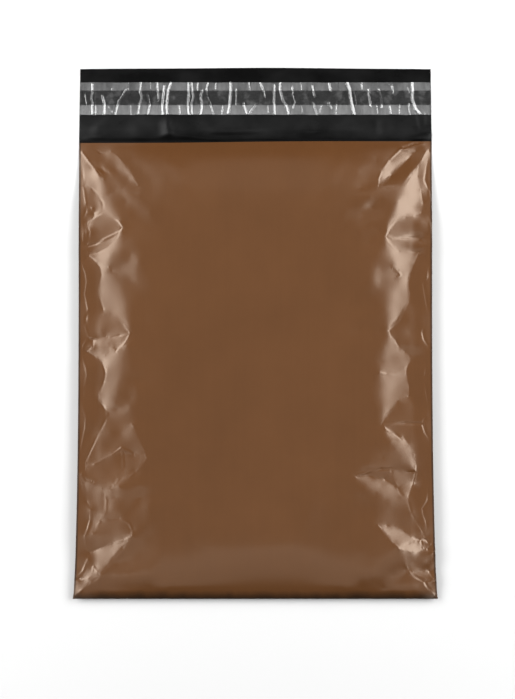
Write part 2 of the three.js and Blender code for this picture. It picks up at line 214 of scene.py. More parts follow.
RIGHT_POINTS = [
    (20.0, 131.4, 0.44, -0.11), (14.2, 133.4, 1.23, -1.17), (7.3, 134.9, 0.76, -0.50), (22.9, 129.8, 0.74, 0.29),
    (17.1, 129.2, 0.06, 0.43), (10.9, 129.0, -0.47, 0.17), (16.0, 124.1, -1.11, -0.08), (22.0, 118.6, -1.44, 0.11),
    (29.4, 111.0, -1.83, 0.17), (37.2, 102.1, 0.15, 0.06), (38.6, 100.9, 0.45, -0.14), (30.7, 121.7, -0.81, 0.17),
    (36.2, 113.8, -0.91, 0.00), (39.0, 106.9, -0.53, 0.28), (33.2, 100.3, 0.66, -0.17), (27.5, 101.4, 1.01, -0.10),
    (1.9, 129.1, 0.08, -0.12), (5.0, 127.1, 0.89, 0.29), (9.6, 118.8, 1.17, -0.08), (16.5, 108.7, 1.67, -0.29),
    (22.1, 100.2, 1.73, -0.02), (25.8, 89.6, 1.88, 0.00), (29.4, 79.9, 1.24, 0.00), (32.6, 69.6, 0.75, 0.00),
    (33.0, 65.2, 0.25, -0.16), (10.3, 109.8, 0.53, 0.04), (8.2, 100.0, 0.58, -0.04), (6.1, 90.3, -0.65, -0.03),
    (7.1, 83.2, -0.62, 0.07), (2.3, 124.9, 0.18, 0.04), (3.8, 115.1, 0.03, -0.09), (4.7, 107.6, 0.07, -0.54),
    (2.1, 100.1, -0.31, 0.10), (13.7, 80.2, 0.65, -0.06), (19.5, 79.6, 0.47, 0.23), (24.1, 78.6, 0.82, -0.00),
    (29.6, 72.6, 0.50, 0.15), (31.2, 67.4, 0.08, 0.00), (22.1, 74.7, 0.56, 0.00), (8.9, 74.8, 0.99, 0.00),
    (28.9, 63.8, -0.36, 0.16), (22.1, 64.2, -0.55, -0.25), (11.2, 64.8, -1.34, 0.02), (6.7, 64.0, -1.23, -0.02),
    (2.2, 59.0, 0.81, -0.32), (31.2, 60.9, -0.25, 0.12), (28.0, 57.4, -0.50, 0.03), (23.9, 54.3, -0.98, 0.02),
    (17.3, 55.3, -1.22, 0.06), (8.9, 54.4, -1.35, -0.21), (3.3, 57.6, 0.36, -0.24), (34.4, 55.8, -0.08, 0.00),
    (32.6, 50.4, -0.35, 0.00), (28.4, 44.4, -0.89, 0.00), (23.4, 39.8, -1.66, 0.00), (22.7, 38.0, -1.95, 0.24),
    (28.1, 42.3, -1.48, 0.19), (24.8, 40.6, -1.47, -0.06), (25.9, 35.9, -2.16, 0.10), (34.6, 58.7, -0.02, 0.00),
    (39.5, 51.4, -0.09, 0.00), (42.0, 43.4, -0.61, 0.00), (43.0, 33.3, -1.01, 0.00), (40.2, 24.7, -1.91, 0.00),
    (10.2, 51.2, -1.49, -0.07), (12.9, 45.0, -1.39, -0.03), (15.7, 37.0, -2.24, 0.15), (16.1, 31.2, -2.22, 0.13),
    (15.7, 24.7, -2.11, 0.08), (16.1, 17.8, -1.76, 0.03), (20.1, 12.7, -1.75, 0.08), (23.9, 5.3, -2.14, 0.20),
    (28.8, -0.1, -2.64, 0.12), (30.6, -2.3, -2.61, -0.07), (24.8, 33.4, -2.03, 0.00), (29.3, 27.8, -2.07, 0.00),
    (32.5, 19.5, -1.87, 0.00), (33.3, 12.7, -1.67, 0.00), (32.5, 4.8, -2.11, 0.00), (29.3, -6.5, -2.32, 0.03),
    (26.1, -9.0, -2.26, -0.01), (23.9, -12.7, -2.18, -0.12), (22.5, -15.5, -2.51, 0.10), (19.4, -16.9, -2.47, 0.02),
    (15.7, -19.6, -2.20, -0.07), (31.6, -6.6, -2.24, 0.00), (34.7, -14.5, -2.36, 0.00), (36.5, -24.4, -3.30, 0.00),
    (37.4, -32.5, -3.28, 0.25), (32.5, -33.3, -3.80, 0.18), (27.4, -33.1, -3.73, 0.06), (22.1, -32.1, -3.57, 0.02),
    (18.2, -29.6, -3.14, -0.11), (15.7, -23.8, -2.67, 0.05), (17.8, -34.3, -3.57, 0.04), (16.2, -41.6, -3.52, -0.02),
    (16.3, -48.7, -3.33, 0.01), (38.4, -42.1, -3.86, 0.00), (37.0, -49.2, -4.01, 0.00), (35.3, -57.6, -3.78, 0.00),
    (35.4, -64.6, -3.98, 0.00), (35.7, -68.1, -3.88, -0.04), (24.0, -51.7, -3.76, -0.00), (28.1, -57.4, -3.90, 0.07),
    (31.8, -62.2, -4.21, 0.13), (16.0, -54.3, -1.95, 0.00), (8.2, -58.4, -0.44, 0.00), (27.1, -68.3, -2.83, -0.16),
    (19.0, -67.6, -1.75, -0.55), (7.1, -67.9, 0.21, -0.46), (33.5, -72.0, -3.10, 0.24), (29.9, -74.1, -3.01, 0.23),
    (26.3, -75.7, -2.49, -0.07), (22.6, -78.4, -1.49, -0.23), (20.8, -77.3, -1.72, 0.03), (16.8, -83.7, -1.00, -0.01),
    (13.6, -89.9, -0.91, 0.03), (12.0, -97.8, -1.68, 0.08), (12.0, -102.0, -2.12, -0.33), (33.5, -73.7, -2.86, 0.00),
    (30.0, -81.4, -1.72, 0.00), (26.4, -86.2, -1.46, 0.00), (21.4, -91.7, -1.41, 0.00), (15.6, -97.9, -1.58, 0.00),
    (55.0, -105.0, -3.66, -0.01), (45.5, -102.1, -4.82, 0.30), (36.4, -100.1, -4.46, -0.39), (29.7, -100.0, -4.08, -0.13),
    (20.8, -101.5, -3.45, 0.16), (45.4, -98.2, -3.75, 0.00), (40.5, -94.0, -3.77, 0.00), (35.6, -91.2, -3.59, 0.00),
    (31.0, -90.2, -2.62, 0.00), (22.8, -92.8, -1.69, 0.00), (45.5, -105.5, -5.33, 0.10), (33.9, -107.2, -5.90, -0.01),
    (27.6, -111.3, -5.02, 0.10), (24.1, -116.2, -3.57, -0.04), (21.1, -118.9, -2.46, -0.17), (47.7, -113.5, -2.97, 0.00),
    (41.2, -117.7, -3.44, 0.00), (35.0, -120.4, -3.35, 0.00), (33.9, -123.6, -3.25, 0.00), (26.8, -122.8, -2.77, 0.00),
    (21.1, -120.3, -2.40, 0.00), (28.4, -107.2, -4.65, -0.01), (24.9, -113.4, -4.30, 0.04), (13.9, -109.7, -3.62, -0.08),
    (18.3, -120.7, -2.11, -0.01), (15.9, -130.7, -0.61, -0.15), (12.6, -136.5, -0.39, -0.04), (8.6, -142.4, 0.37, -0.39),
    (7.3, -146.6, -0.23, 0.12), (37.5, -129.5, -3.35, 0.00), (39.2, -134.3, -3.13, 0.00), (39.3, -139.4, -2.89, 0.26),
    (33.6, -139.3, -3.13, 0.02), (27.6, -140.1, -2.62, 0.07), (21.9, -143.2, -1.62, 0.03), (16.3, -147.3, -0.17, 0.02),
    (9.7, -149.3, 0.50, -0.28), (36.8, -143.6, -1.53, -0.18), (33.4, -147.8, -1.04, -0.10), (29.3, -152.1, -0.09, 0.07),
    (26.1, -155.1, 1.31, 0.01), (22.6, -153.0, 0.98, -0.08), (18.8, -151.8, 0.83, -0.19), (14.0, -150.4, 0.69, -0.03),
    (22.3, -156.3, 1.44, 0.01), (15.2, -157.4, 1.77, -0.06), (5.2, -155.9, 0.93, -0.47), (6.2, -149.2, 0.13, -0.58),
    (3.1, -152.1, 0.47, -0.05), (3.0, -154.9, -0.03, 0.37), (8.1, -154.2, 0.39, 0.33), (9.4, -151.4, 0.77, -0.32),
    (24.3, -158.8, 1.05, -0.05), (21.2, -166.0, 0.27, -0.02), (19.9, -170.1, -0.55, 0.29), (18.1, -172.7, 0.42, 0.10),
    (13.4, -175.4, 1.39, -0.31), (8.4, -178.2, 2.13, -0.53), (6.3, -182.3, 1.48, -0.21), (1.2, -187.9, -0.44, 0.19),
    (12.5, -171.1, 0.71, -0.05), (6.9, -170.1, 0.13, 0.21), (4.3, -171.3, -0.28, 0.01), (0.8, -176.3, 1.78, -0.41),
    (5.1, -177.3, 1.68, -0.20), (0.7, -156.9, 2.29, -0.61), (3.1, -163.2, 1.09, 0.03), (30.9, 126.8, -0.18, 0.00),
    (39.6, 121.9, -1.15, 0.00), (48.3, 116.0, -0.12, 0.00), (53.3, 112.1, 0.41, 0.00), (39.7, 109.1, -0.75, 0.00),
    (45.1, 105.0, -0.68, 0.00), (51.1, 100.5, 0.03, 0.00), (38.3, 99.1, 0.61, 0.00), (44.7, 93.5, 1.11, 0.00),
    (51.1, 86.5, 0.22, 0.00), (26.7, 98.4, 1.36, 0.00), (34.7, 91.4, 0.59, 0.00), (42.9, 85.8, -1.25, 0.00),
    (50.3, 80.7, -0.62, 0.00), (1.4, 92.6, 0.00, 0.24), (3.6, 86.6, 0.00, 0.15), (2.0, 79.2, 0.00, -0.08),
    (1.2, 71.9, 0.00, 0.29), (2.2, 54.5, 0.00, 0.17), (3.3, 45.1, 0.00, 0.05), (3.9, 36.4, 0.00, 0.28),
    (6.1, 31.0, 0.00, -0.21), (3.9, 18.0, 0.00, -0.19), (2.2, 10.6, 0.00, 0.00), (5.8, -0.5, 0.00, -0.01),
    (6.7, -3.5, 0.00, -0.33), (5.8, -8.0, 0.00, -0.33), (2.3, -13.7, 0.00, -0.08), (3.4, -23.0, 0.00, 0.22),
    (4.5, -32.7, 0.00, -0.36), (5.9, -35.8, 0.00, 0.02), (3.9, -46.1, 0.00, -0.30), (1.9, -54.9, 0.00, -0.19),
    (4.3, -61.7, 0.00, 0.13), (5.3, -73.9, 0.00, -0.26), (1.8, -80.0, 0.00, -0.07), (2.3, -90.1, 0.00, 0.04),
    (2.9, -100.6, 0.00, 0.24), (3.2, -112.5, 0.00, -0.02), (4.3, -122.2, 0.00, -0.31), (7.8, -127.6, 0.00, -0.22),
    (7.4, -131.3, 0.00, -0.22), (5.7, -136.2, 0.00, -0.24), (4.9, -143.8, 0.00, 0.05),
]
RIGHT_LINES = [
    ("crease", [0, 1, 2]),
    ("crease", [3, 4, 5]),
    ("crease", [5, 6, 7, 8, 9, 10]),
    ("crease", [3, 11, 12, 13, 10]),
    ("crease", [10, 14, 15]),
    ("crease", [16, 17, 18, 19, 20]),
    ("soft", [20, 21, 22, 23, 24]),
    ("crease", [18, 25, 26, 27, 28]),
    ("crease", [29, 30, 31, 32]),
    ("crease", [28, 33, 34, 35, 36, 24]),
    ("soft", [37, 38, 39]),
    ("crease", [24, 40, 41, 42, 43, 44]),
    ("crease", [24, 45, 46, 47]),
    ("crease", [47, 48, 49, 50]),
    ("soft", [24, 51, 52, 53, 54, 55]),
    ("crease", [56, 57, 55, 58]),
    ("soft", [59, 60, 61, 62, 63]),
    ("crease", [49, 64, 65, 66, 67, 68, 69]),
    ("crease", [69, 70, 71, 72, 73]),
    ("soft", [55, 74, 75, 76, 77, 78, 73]),
    ("crease", [73, 79, 80, 81, 82, 83, 84]),
    ("soft", [73, 85, 86, 87, 88]),
    ("crease", [88, 89, 90, 91, 92]),
    ("crease", [84, 93, 92, 94, 95, 96]),
    ("soft", [88, 97, 98, 99, 100, 101]),
    ("crease", [96, 102, 103, 104, 101]),
    ("soft", [102, 105, 106]),
    ("crease", [101, 107, 108, 109]),
    ("crease", [101, 110, 111, 112, 113, 114]),
    ("crease", [114, 115, 116, 117, 118]),
    ("soft", [119, 120, 121, 122, 123, 118]),
    ("crease", [124, 125, 126, 127, 128, 118]),
    ("soft", [129, 130, 131, 132, 133]),
    ("crease", [124, 134, 135, 136, 137, 138]),
    ("soft", [124, 139, 140, 141, 142]),
    ("soft", [142, 143, 144]),
    ("crease", [127, 145, 146, 138]),
    ("crease", [118, 147, 148, 149, 150, 151, 152]),
    ("crease", [138, 148]),
    ("soft", [142, 153, 154, 155]),
    ("crease", [155, 156, 157, 158, 159, 160]),
    ("crease", [155, 161, 162, 163, 164]),
    ("crease", [164, 165, 166, 167, 160]),
    ("crease", [164, 168, 169, 170]),
    ("crease", [160, 171, 172, 173, 170, 174, 175, 160]),
    ("crease", [164, 176, 177, 178, 179, 180, 181, 182, 183]),
    ("crease", [179, 184, 185, 186, 187]),
    ("crease", [181, 188, 187]),
    ("crease", [189, 190, 186]),
    ("soft", [191, 192, 193, 194]),
    ("soft", [195, 196, 197]),
    ("soft", [198, 199, 200]),
    ("soft", [201, 202, 203, 204]),
    ("bead", [32, 205, 206, 207, 208, 44]),
    ("bead", [44, 209, 210, 211, 212, 213, 214, 215, 216, 217, 218]),
    ("bead", [218, 219, 220, 221, 222, 223, 224, 109]),
    ("bead", [109, 225, 226, 227, 228, 229, 230]),
    ("bead", [230, 231, 232, 233, 234, 152]),
]
RIGHT_STATIONS = [
    (9, -165, 1.49), (9, -129, -0.16), (9, -120, -0.50), (9, -111, -1.28), (9, -84, -0.49), (9, -75, 0.04),
    (9, -48, -0.80), (9, -39, -1.18), (9, -30, -0.85), (9, -21, -1.48), (9, -12, 0.02), (9, -3, 0.00),
    (9, 6, 0.28), (9, 15, -0.44), (9, 24, -0.37), (9, 33, -0.18), (9, 42, -0.54), (9, 60, -0.17),
    (9, 69, 0.21), (16, -183, 1.37), (16, -165, 0.63), (16, -75, -0.91), (16, -12, -0.73), (16, -3, -0.74),
    (16, 6, -0.46), (16, 60, -0.52), (16, 69, 0.14), (16, 87, 0.31), (16, 96, 1.62), (23, -183, 0.20),
    (23, -174, -0.81), (23, -129, -2.06), (23, -39, -3.99), (23, -21, -2.78), (23, -3, -1.49), (23, 24, -2.13),
    (30, -183, -0.94), (30, -174, -2.03), (30, -165, -0.77), (30, -129, -3.03), (30, -48, -4.31), (30, -39, -4.09),
    (30, -21, -3.14), (37, -183, -2.53), (37, -174, -2.14), (37, -165, -1.55), (37, -156, -1.59), (37, -111, -5.09),
    (37, -84, -3.10), (37, -3, -3.15), (37, 6, -2.31), (37, 33, -1.97), (37, 42, -1.31), (37, 69, -0.09),
    (37, 78, 0.30), (44, -183, -1.91), (44, -174, -1.58), (44, -165, -1.96), (44, -156, -2.30), (44, -147, -2.52),
    (44, -138, -2.72), (44, -129, -3.35), (44, -84, -3.25), (44, -75, -3.84), (44, -66, -4.15), (44, -57, -3.87),
    (44, -48, -3.72), (44, -39, -3.55), (44, -30, -3.31), (44, -21, -2.89), (44, -12, -2.77), (44, -3, -3.18),
    (44, 6, -2.37), (44, 15, -2.18), (44, 60, -0.46), (44, 69, 0.10), (44, 78, -0.02), (52, -183, -1.83),
    (52, -174, -1.36), (52, -165, -1.71), (52, -156, -1.91), (52, -147, -2.46), (52, -138, -2.80), (52, -129, -3.35),
    (52, -120, -3.11), (52, -93, -3.51), (52, -84, -3.48), (52, -75, -3.87), (52, -66, -4.14), (52, -57, -4.06),
    (52, -48, -3.91), (52, -39, -3.73), (52, -30, -3.50), (52, -21, -3.11), (52, -12, -2.98), (52, -3, -3.25),
    (52, 6, -2.48), (52, 15, -2.20), (52, 24, -1.33), (52, 33, -0.81), (52, 42, -0.34), (52, 51, -0.05),
    (52, 60, 0.00), (52, 69, 0.59), (52, 96, 1.03), (52, 123, -0.09),
]

WRINKLES = [
    (1.6, [(-118.4, 179.0), (-118.4, 172.5), (-119.3, 168.0), (-118.2, 165.3), (-118.3, 160.8), (-118.1, 156.7)]),
    (1.2, [(-115.8, 172.1), (-115.8, 167.1), (-115.6, 156.3)]),
    (1.7, [(-110.0, 169.8), (-108.6, 164.9), (-108.7, 156.3)]),
    (1.2, [(-106.3, 161.7), (-104.1, 158.6)]),
    (1.5, [(-92.9, 174.7), (-95.5, 169.8), (-98.1, 165.8), (-99.7, 160.8), (-100.8, 156.1)]),
    (1.0, [(-103.9, 176.0), (-104.1, 173.0)]),
    (1.0, [(-91.1, 172.1), (-90.7, 168.6), (-90.3, 164.1), (-90.0, 156.3)]),
    (1.5, [(-82.4, 179.9), (-83.0, 174.3), (-81.6, 169.8), (-82.3, 165.8), (-83.6, 162.6), (-84.4, 156.7)]),
    (1.3, [(-78.4, 170.7), (-77.5, 166.7), (-76.6, 163.1), (-77.9, 156.4)]),
    (1.4, [(-70.6, 179.9), (-70.3, 174.3), (-69.6, 169.8), (-69.2, 167.1)]),
    (1.8, [(-66.2, 177.5), (-67.0, 171.6), (-67.7, 164.4), (-67.2, 156.4)]),
    (1.8, [(-61.5, 179.9), (-63.6, 174.3), (-64.4, 167.1), (-64.5, 162.6), (-64.0, 156.7)]),
    (1.0, [(-61.3, 172.5), (-61.5, 166.2), (-61.0, 156.7)]),
    (1.7, [(-48.7, 179.9), (-48.9, 169.8), (-49.2, 164.4), (-48.4, 156.4)]),
    (1.6, [(-46.0, 179.9), (-45.4, 174.7), (-44.3, 169.8), (-46.0, 162.6), (-45.6, 156.7)]),
    (1.1, [(-42.1, 179.7), (-42.2, 174.2)]),
    (1.2, [(-34.7, 179.9), (-35.8, 175.3), (-35.9, 169.8), (-33.3, 165.3), (-31.1, 157.0)]),
    (1.7, [(-38.1, 174.2), (-39.0, 168.9), (-38.1, 164.4), (-39.1, 156.6)]),
    (2.0, [(-18.5, 179.9), (-18.2, 174.5), (-18.8, 169.3), (-18.9, 164.9), (-20.1, 157.5)]),
    (1.2, [(-13.6, 175.1), (-13.2, 169.8), (-13.3, 163.8)]),
    (1.5, [(-9.2, 164.4), (-7.5, 159.9), (-6.4, 156.7)]),
    (1.0, [(-5.3, 179.7), (-4.6, 173.4)]),
    (1.4, [(1.3, 163.8), (-3.2, 158.0)]),
    (1.4, [(3.1, 179.9), (5.3, 173.8), (6.2, 169.3)]),
    (1.6, [(13.9, 178.2), (14.0, 172.5), (13.9, 167.1), (14.2, 156.6)]),
    (1.7, [(17.6, 179.9), (17.3, 175.3), (19.0, 167.1), (22.4, 161.7), (23.7, 156.7)]),
    (1.5, [(21.0, 179.9), (20.9, 175.6), (19.7, 168.9)]),
    (1.8, [(23.0, 165.8), (23.9, 162.2), (23.1, 156.7)]),
    (1.1, [(26.2, 176.5), (26.3, 169.8), (27.8, 165.3), (26.7, 161.2)]),
    (1.5, [(41.6, 177.5), (42.1, 174.5), (43.3, 169.8)]),
    (1.4, [(41.2, 164.0), (43.7, 157.0)]),
    (1.6, [(52.7, 179.4), (53.9, 174.2)]),
    (1.5, [(53.3, 164.4), (55.0, 161.5)]),
    (1.0, [(57.9, 163.5), (57.7, 157.2)]),
    (2.2, [(66.9, 180.0), (68.4, 175.3), (69.2, 169.8), (70.1, 164.4), (71.8, 156.4)]),
    (1.0, [(70.5, 172.7), (71.5, 168.6), (72.2, 164.1)]),
    (1.7, [(81.5, 175.0), (81.4, 169.8), (82.8, 162.6)]),
    (1.3, [(89.4, 175.0), (91.1, 169.8), (91.7, 161.5)]),
    (1.3, [(98.1, 177.1), (98.9, 173.0)]),
    (1.2, [(97.5, 162.6), (98.0, 157.2)]),
    (1.1, [(109.6, 175.3), (110.4, 172.3)]),
    (1.1, [(110.2, 163.8), (110.9, 157.2)]),
    (2.4, [(113.6, 180.0), (114.0, 175.3), (114.1, 167.1), (116.2, 160.4), (119.5, 157.0)]),
    (1.2, [(120.5, 179.7), (121.4, 174.3), (120.8, 161.9), (120.7, 156.7)]),
    (1.0, [(-122.5, 170.8), (-121.4, 164.1)]),
    (0.9, [(-99.4, 179.7), (-99.7, 176.0)]),
    (0.9, [(-76.0, 179.7), (-75.7, 175.6)]),
    (0.9, [(-54.5, 162.6), (-54.0, 156.7)]),
    (0.9, [(-24.1, 162.3), (-24.6, 157.0)]),
    (0.9, [(-28.2, 179.4), (-28.5, 175.3)]),
    (0.9, [(8.4, 162.9), (8.8, 157.5)]),
    (0.9, [(32.2, 179.3), (32.8, 175.3)]),
    (0.9, [(33.6, 162.8), (34.3, 157.5)]),
    (0.9, [(47.4, 163.4), (45.9, 158.9)]),
    (0.9, [(61.9, 174.1), (62.1, 169.3), (61.8, 164.1)]),
    (0.9, [(76.4, 179.4), (76.6, 176.0)]),
    (0.9, [(87.1, 162.6), (87.8, 157.5)]),
    (0.9, [(94.5, 179.4), (96.6, 179.1)]),
    (0.9, [(103.7, 163.1), (103.4, 157.5)]),
]


def clamp01(t):
    return np.clip(t, 0.0, 1.0)


def smooth(t):
    s = clamp01(t)
    return s * s * (3 - 2 * s)


def half_width(y):
    t = clamp01((y - FOLD_Y) / BAG_L)
    pull = np.power(np.maximum(np.sin(np.pi * np.power(t, 0.62)), 0.0), 0.9)
    return HALF_W - WAIST * pull


def seam_height(y):
    return SEAM_Z * smooth((MOUTH_Y - y) / 70) * (1 - 0.45 * smooth((FOLD_Y + 60 - y) / 60))


def fold_height(y):
    return FOLD_Z * (1 - smooth((y - FOLD_Y) / BACK_LIFT))


# The flank between a weld and the level panel: nearly level beside the weld, a
# steady rise, then over into the panel.
_fd = np.linspace(0, 64, 641)
_fm = (0.08 + 0.30 * smooth((_fd - 8) / 8)) * (1 - smooth((_fd - 26) / 20))
_fp = np.concatenate([[0], np.cumsum((_fm[1:] + _fm[:-1]) / 2 * 0.1)])
_fp /= _fp[-1]


def rise(at, slope):
    """Share of the full height at every 0.1, from slopes at some distances."""
    x = np.linspace(0, at[-1], int(at[-1] * 10) + 1)
    s = np.interp(x, at, slope)
    z = np.concatenate([[0], np.cumsum((s[1:] + s[:-1]) / 2)])
    return x, z / z[-1]


# The front panel's rise from the bottom fold, and from the mouth: steep beside
# each, then slow.
_gx, _gp = rise([0, 2, 5, 8, 11, 14, 17, 20, 24, 28, 32, 40, 50],
                [0.6, 0.66, 0.66, 0.39, 0.27, 0.19, 0.155, 0.135, 0.12, 0.10, 0.08, 0.04, 0.0])
_mx, _mp = rise([0, 4, 7, 12, 18, 24, 32, 41, 56, 76, 110, 160, 200],
                [0.42, 0.42, 0.38, 0.31, 0.24, 0.17, 0.10, 0.05, 0.028, 0.02, 0.016, 0.012, 0.0])


def front_base(y, d):
    top = FILL_H * np.interp(MOUTH_Y - y, _mx, _mp)
    lo = np.maximum(fold_height(y), seam_height(y)) + 0.12
    lo = np.minimum(lo, np.maximum(top, 0) + 0.12 + fold_height(y))
    up = np.interp(d, _fd, _fp) * np.interp((y - FOLD_Y) * (1 + 0.35 * (1 - smooth(d / 115))), _gx, _gp)
    return lo + np.maximum(top - lo, 0) * up


def press(points, lines, stations):
    """Height of one side zone: the plain shape, bent as little as the creases
    and stations allow, and free to turn sharply along the creases."""
    pts = np.array(points, float)
    cols = NS + 1
    ss, yy = np.meshgrid(np.arange(cols) * HS, FOLD_Y + np.arange(NR + 1) * HY)
    near = np.full(ss.shape, 1e9)
    bead_d = np.full(ss.shape, 1e9)
    bead_h = np.zeros(ss.shape)
    sam = []
    for kind, ids in lines:
        for a, b in zip(ids[:-1], ids[1:]):
            A, B = pts[a, :2], pts[b, :2]
            ln = math.hypot(*(B - A))
            if ln < 1e-6:
                continue
            if kind != "bead":
                n = max(2, int(math.ceil(ln / 0.6)))
                t = (np.arange(n) + 0.5) / n
                sam.append(np.column_stack([A[0] + (B[0] - A[0]) * t, A[1] + (B[1] - A[1]) * t,
                                            pts[a, 2] * (1 - t) + pts[b, 2] * t]))
            if kind == "soft":
                continue
            i0, i1 = int(max(0, min(A[0], B[0]) / HS - 5)), int(min(NS, max(A[0], B[0]) / HS + 5))
            j0 = int(max(0, (min(A[1], B[1]) - FOLD_Y) / HY - 5))
            j1 = int(min(NR, (max(A[1], B[1]) - FOLD_Y) / HY + 5))
            w = (slice(j0, j1 + 1), slice(i0, i1 + 1))
            gs, gy = ss[w], yy[w]
            u = clamp01(((gs - A[0]) * (B[0] - A[0]) + (gy - A[1]) * (B[1] - A[1])) / ln ** 2)
            d = np.hypot(gs - A[0] - u * (B[0] - A[0]), gy - A[1] - u * (B[1] - A[1]))
            if kind == "crease":
                near[w] = np.minimum(near[w], d)
            m = d < bead_d[w] - 1e-9
            bead_d[w] = np.where(m, d, bead_d[w])
            bead_h[w] = np.where(m, pts[a, 3] * (1 - u) + pts[b, 3] * u, bead_h[w])
    sam = np.concatenate(sam)

    nb = 2 * cols
    nblk = (NR + 2) // 2
    size = nblk * nb
    pos_d, val_d, pos_e, val_e = [], [], [], []
    rhs = np.zeros(size)

    def couple(idx, coef, weight):
        for a in range(idx.shape[1]):
            for b in range(idx.shape[1]):
                ia, ib = idx[:, a], idx[:, b]
                v = weight * coef[..., a] * coef[..., b]
                ka, kb = ia // nb, ib // nb
                where = (ka * nb + ia % nb) * nb + ib % nb
                same, nxt = ka == kb, kb == ka + 1
                pos_d.append(where[same])
                val_d.append(v[same])
                pos_e.append(where[nxt])
                val_e.append(v[nxt])

    jj, ii = np.meshgrid(np.arange(NR + 1), np.arange(cols), indexing="ij")
    at = jj * cols + ii
    stiff = 0.006 + 0.994 * smooth((near - 0.35) / 0.80)
    cell = HS * HY

    def stencil(mask, offs, coef, weight):
        base = at[mask]
        idx = np.stack([base + dj * cols + di for dj, di in offs], 1)
        couple(idx, np.array(coef, float), np.broadcast_to(weight, base.shape))

    m = (ii > 0) & (ii < NS)
    stencil(m, [(0, -1), (0, 0), (0, 1)], np.array([1, -2, 1]) / HS ** 2, (stiff * cell)[m])
    m = (jj > 0) & (jj < NR)
    stencil(m, [(-1, 0), (0, 0), (1, 0)], np.array([1, -2, 1]) / HY ** 2, (stiff * cell)[m])
    m = (ii < NS) & (jj < NR)
    wx = np.minimum(np.minimum(stiff[:-1, :-1], stiff[1:, 1:]), np.minimum(stiff[1:, :-1], stiff[:-1, 1:]))
    stencil(m, [(0, 0), (0, 1), (1, 0), (1, 1)], np.array([1, -1, -1, 1]) / (HS * HY), (2 * wx * cell).ravel())
    stencil(ii < NS, [(0, 0), (0, 1)], np.array([-1, 1]) / HS, 0.0015 * cell)
    stencil(jj < NR, [(0, 0), (1, 0)], np.array([-1, 1]) / HY, 0.0015 * cell)
    stencil(ii == NS - 1, [(0, 0), (0, 1)], np.array([-1, 1]) / HS, 30.0)
    m = (ii == NS) & (jj > 0) & (jj < NR)
    stencil(m, [(-1, 0), (0, 0), (1, 0)], np.array([1, -2, 1]) / HY ** 2, (15.0 + 2e3 * smooth((yy + 178) / 40))[m])
    stencil(jj == 0, [(0, 0)], [1.0], 3.0)
    stencil(jj == NR, [(0, 0)], [1.0], 3.0)
    stencil((ii == 0) & (jj > 0) & (jj < NR), [(0, 0)], [1.0], 0.02)

    def pull(s, y, h, weight):
        fi = np.clip(s / HS, 0, NS - 1e-6)
        fj = np.clip((y - FOLD_Y) / HY, 0, NR - 1e-6)
        i, j = fi.astype(int), fj.astype(int)
        a, b = fi - i, fj - j
        idx = np.stack([j * cols + i, j * cols + i + 1, (j + 1) * cols + i, (j + 1) * cols + i + 1], 1)
        coef = np.stack([(1 - a) * (1 - b), a * (1 - b), (1 - a) * b, a * b], 1)
        couple(idx, coef, np.full(len(s), weight))
        np.add.at(rhs, idx.ravel(), (weight * h[:, None] * coef).ravel())

    pull(sam[:, 0], sam[:, 1], sam[:, 2], 72.0)
    st = np.array(stations, float)
    pull(st[:, 0], st[:, 1], st[:, 2], 10.0)
    spare = np.arange((NR + 1) * cols, size)
    couple(spare[:, None], np.ones(1), np.ones(len(spare)))

    D = np.bincount(np.concatenate(pos_d), np.concatenate(val_d), nblk * nb * nb).reshape(nblk, nb, nb)
    E = np.bincount(np.concatenate(pos_e), np.concatenate(val_e), nblk * nb * nb).reshape(nblk, nb, nb)
    rhs = rhs.reshape(nblk, nb)
    X = np.zeros((nblk, nb, nb))
    Y = np.zeros((nblk, nb))
    for k in range(nblk):
        d, r = D[k], rhs[k]
        if k:
            d = d - E[k - 1].T @ X[k - 1]
            r = r - E[k - 1].T @ Y[k - 1]
        sol = np.linalg.solve(d, np.column_stack([E[k], r]))
        X[k], Y[k] = sol[:, :-1], sol[:, -1]
    w = np.zeros((nblk, nb))
    w[-1] = Y[-1]
    for k in range(nblk - 2, -1, -1):
        w[k] = Y[k] - X[k] @ w[k + 1]
    lift = w.ravel()[:(NR + 1) * cols].reshape(NR + 1, cols)
    bead = bead_h * np.exp(-bead_d ** 2 / (2 * 0.62 ** 2)) * (bead_d < 2.4)
    return front_base(yy, ss) + lift + bead


side_z = {-1: press(LEFT_POINTS, LEFT_LINES, LEFT_STATIONS),
          1: press(RIGHT_POINTS, RIGHT_LINES, RIGHT_STATIONS)}


# ---------------------------------------------------------------------------
# Shape of the panels
# ---------------------------------------------------------------------------
# The front panel's points lie on a lattice of half the solved grid's steps. Where
# the film is smooth only some of them are used.
NF = 2 * NS                        # lattice steps across a side zone
N_MID = 60                         # steps across the level middle
n_cols = 2 * NF + N_MID
n_rows = 2 * NR
s_side = np.arange(NF + 1) * HS / 2
y_rows = FOLD_Y + np.arange(n_rows + 1) * HY / 2


def finer(z):
    """Twice as many points each way, on a smooth curve through the old ones."""
    for axis in (0, 1):
        z = np.moveaxis(z, axis, 0)
        q = np.concatenate([[2 * z[0] - z[1]], z, [2 * z[-1] - z[-2]]])
        out = np.empty((2 * len(z) - 1,) + z.shape[1:])
        out[::2] = z
        out[1::2] = (9 * (q[1:-2] + q[2:-1]) - q[:-3] - q[3:]) / 16
        z = np.moveaxis(out, 0, axis)
    return z


def mouth_line(x):
    return MOUTH_Y + 0.006 * x + 0.25 * np.sin(x * 0.031 + 0.6)


def flap_line(x):
    return FLAP_Y + 0.45 - 0.95 * (x / HALF_W) ** 2 + 0.12 * np.sin(x * 0.05 + 1.0)


def column_x(hw):
    """x of every column at half width hw, rows x columns."""
    hw = np.asarray(hw, float)[..., None]
    left = -hw + s_side
    right = hw - s_side[::-1]
    t = np.arange(1, N_MID) / N_MID
    mid = left[..., -1:] + (right[..., :1] - left[..., -1:]) * t
    return np.concatenate([left, mid, right], -1)


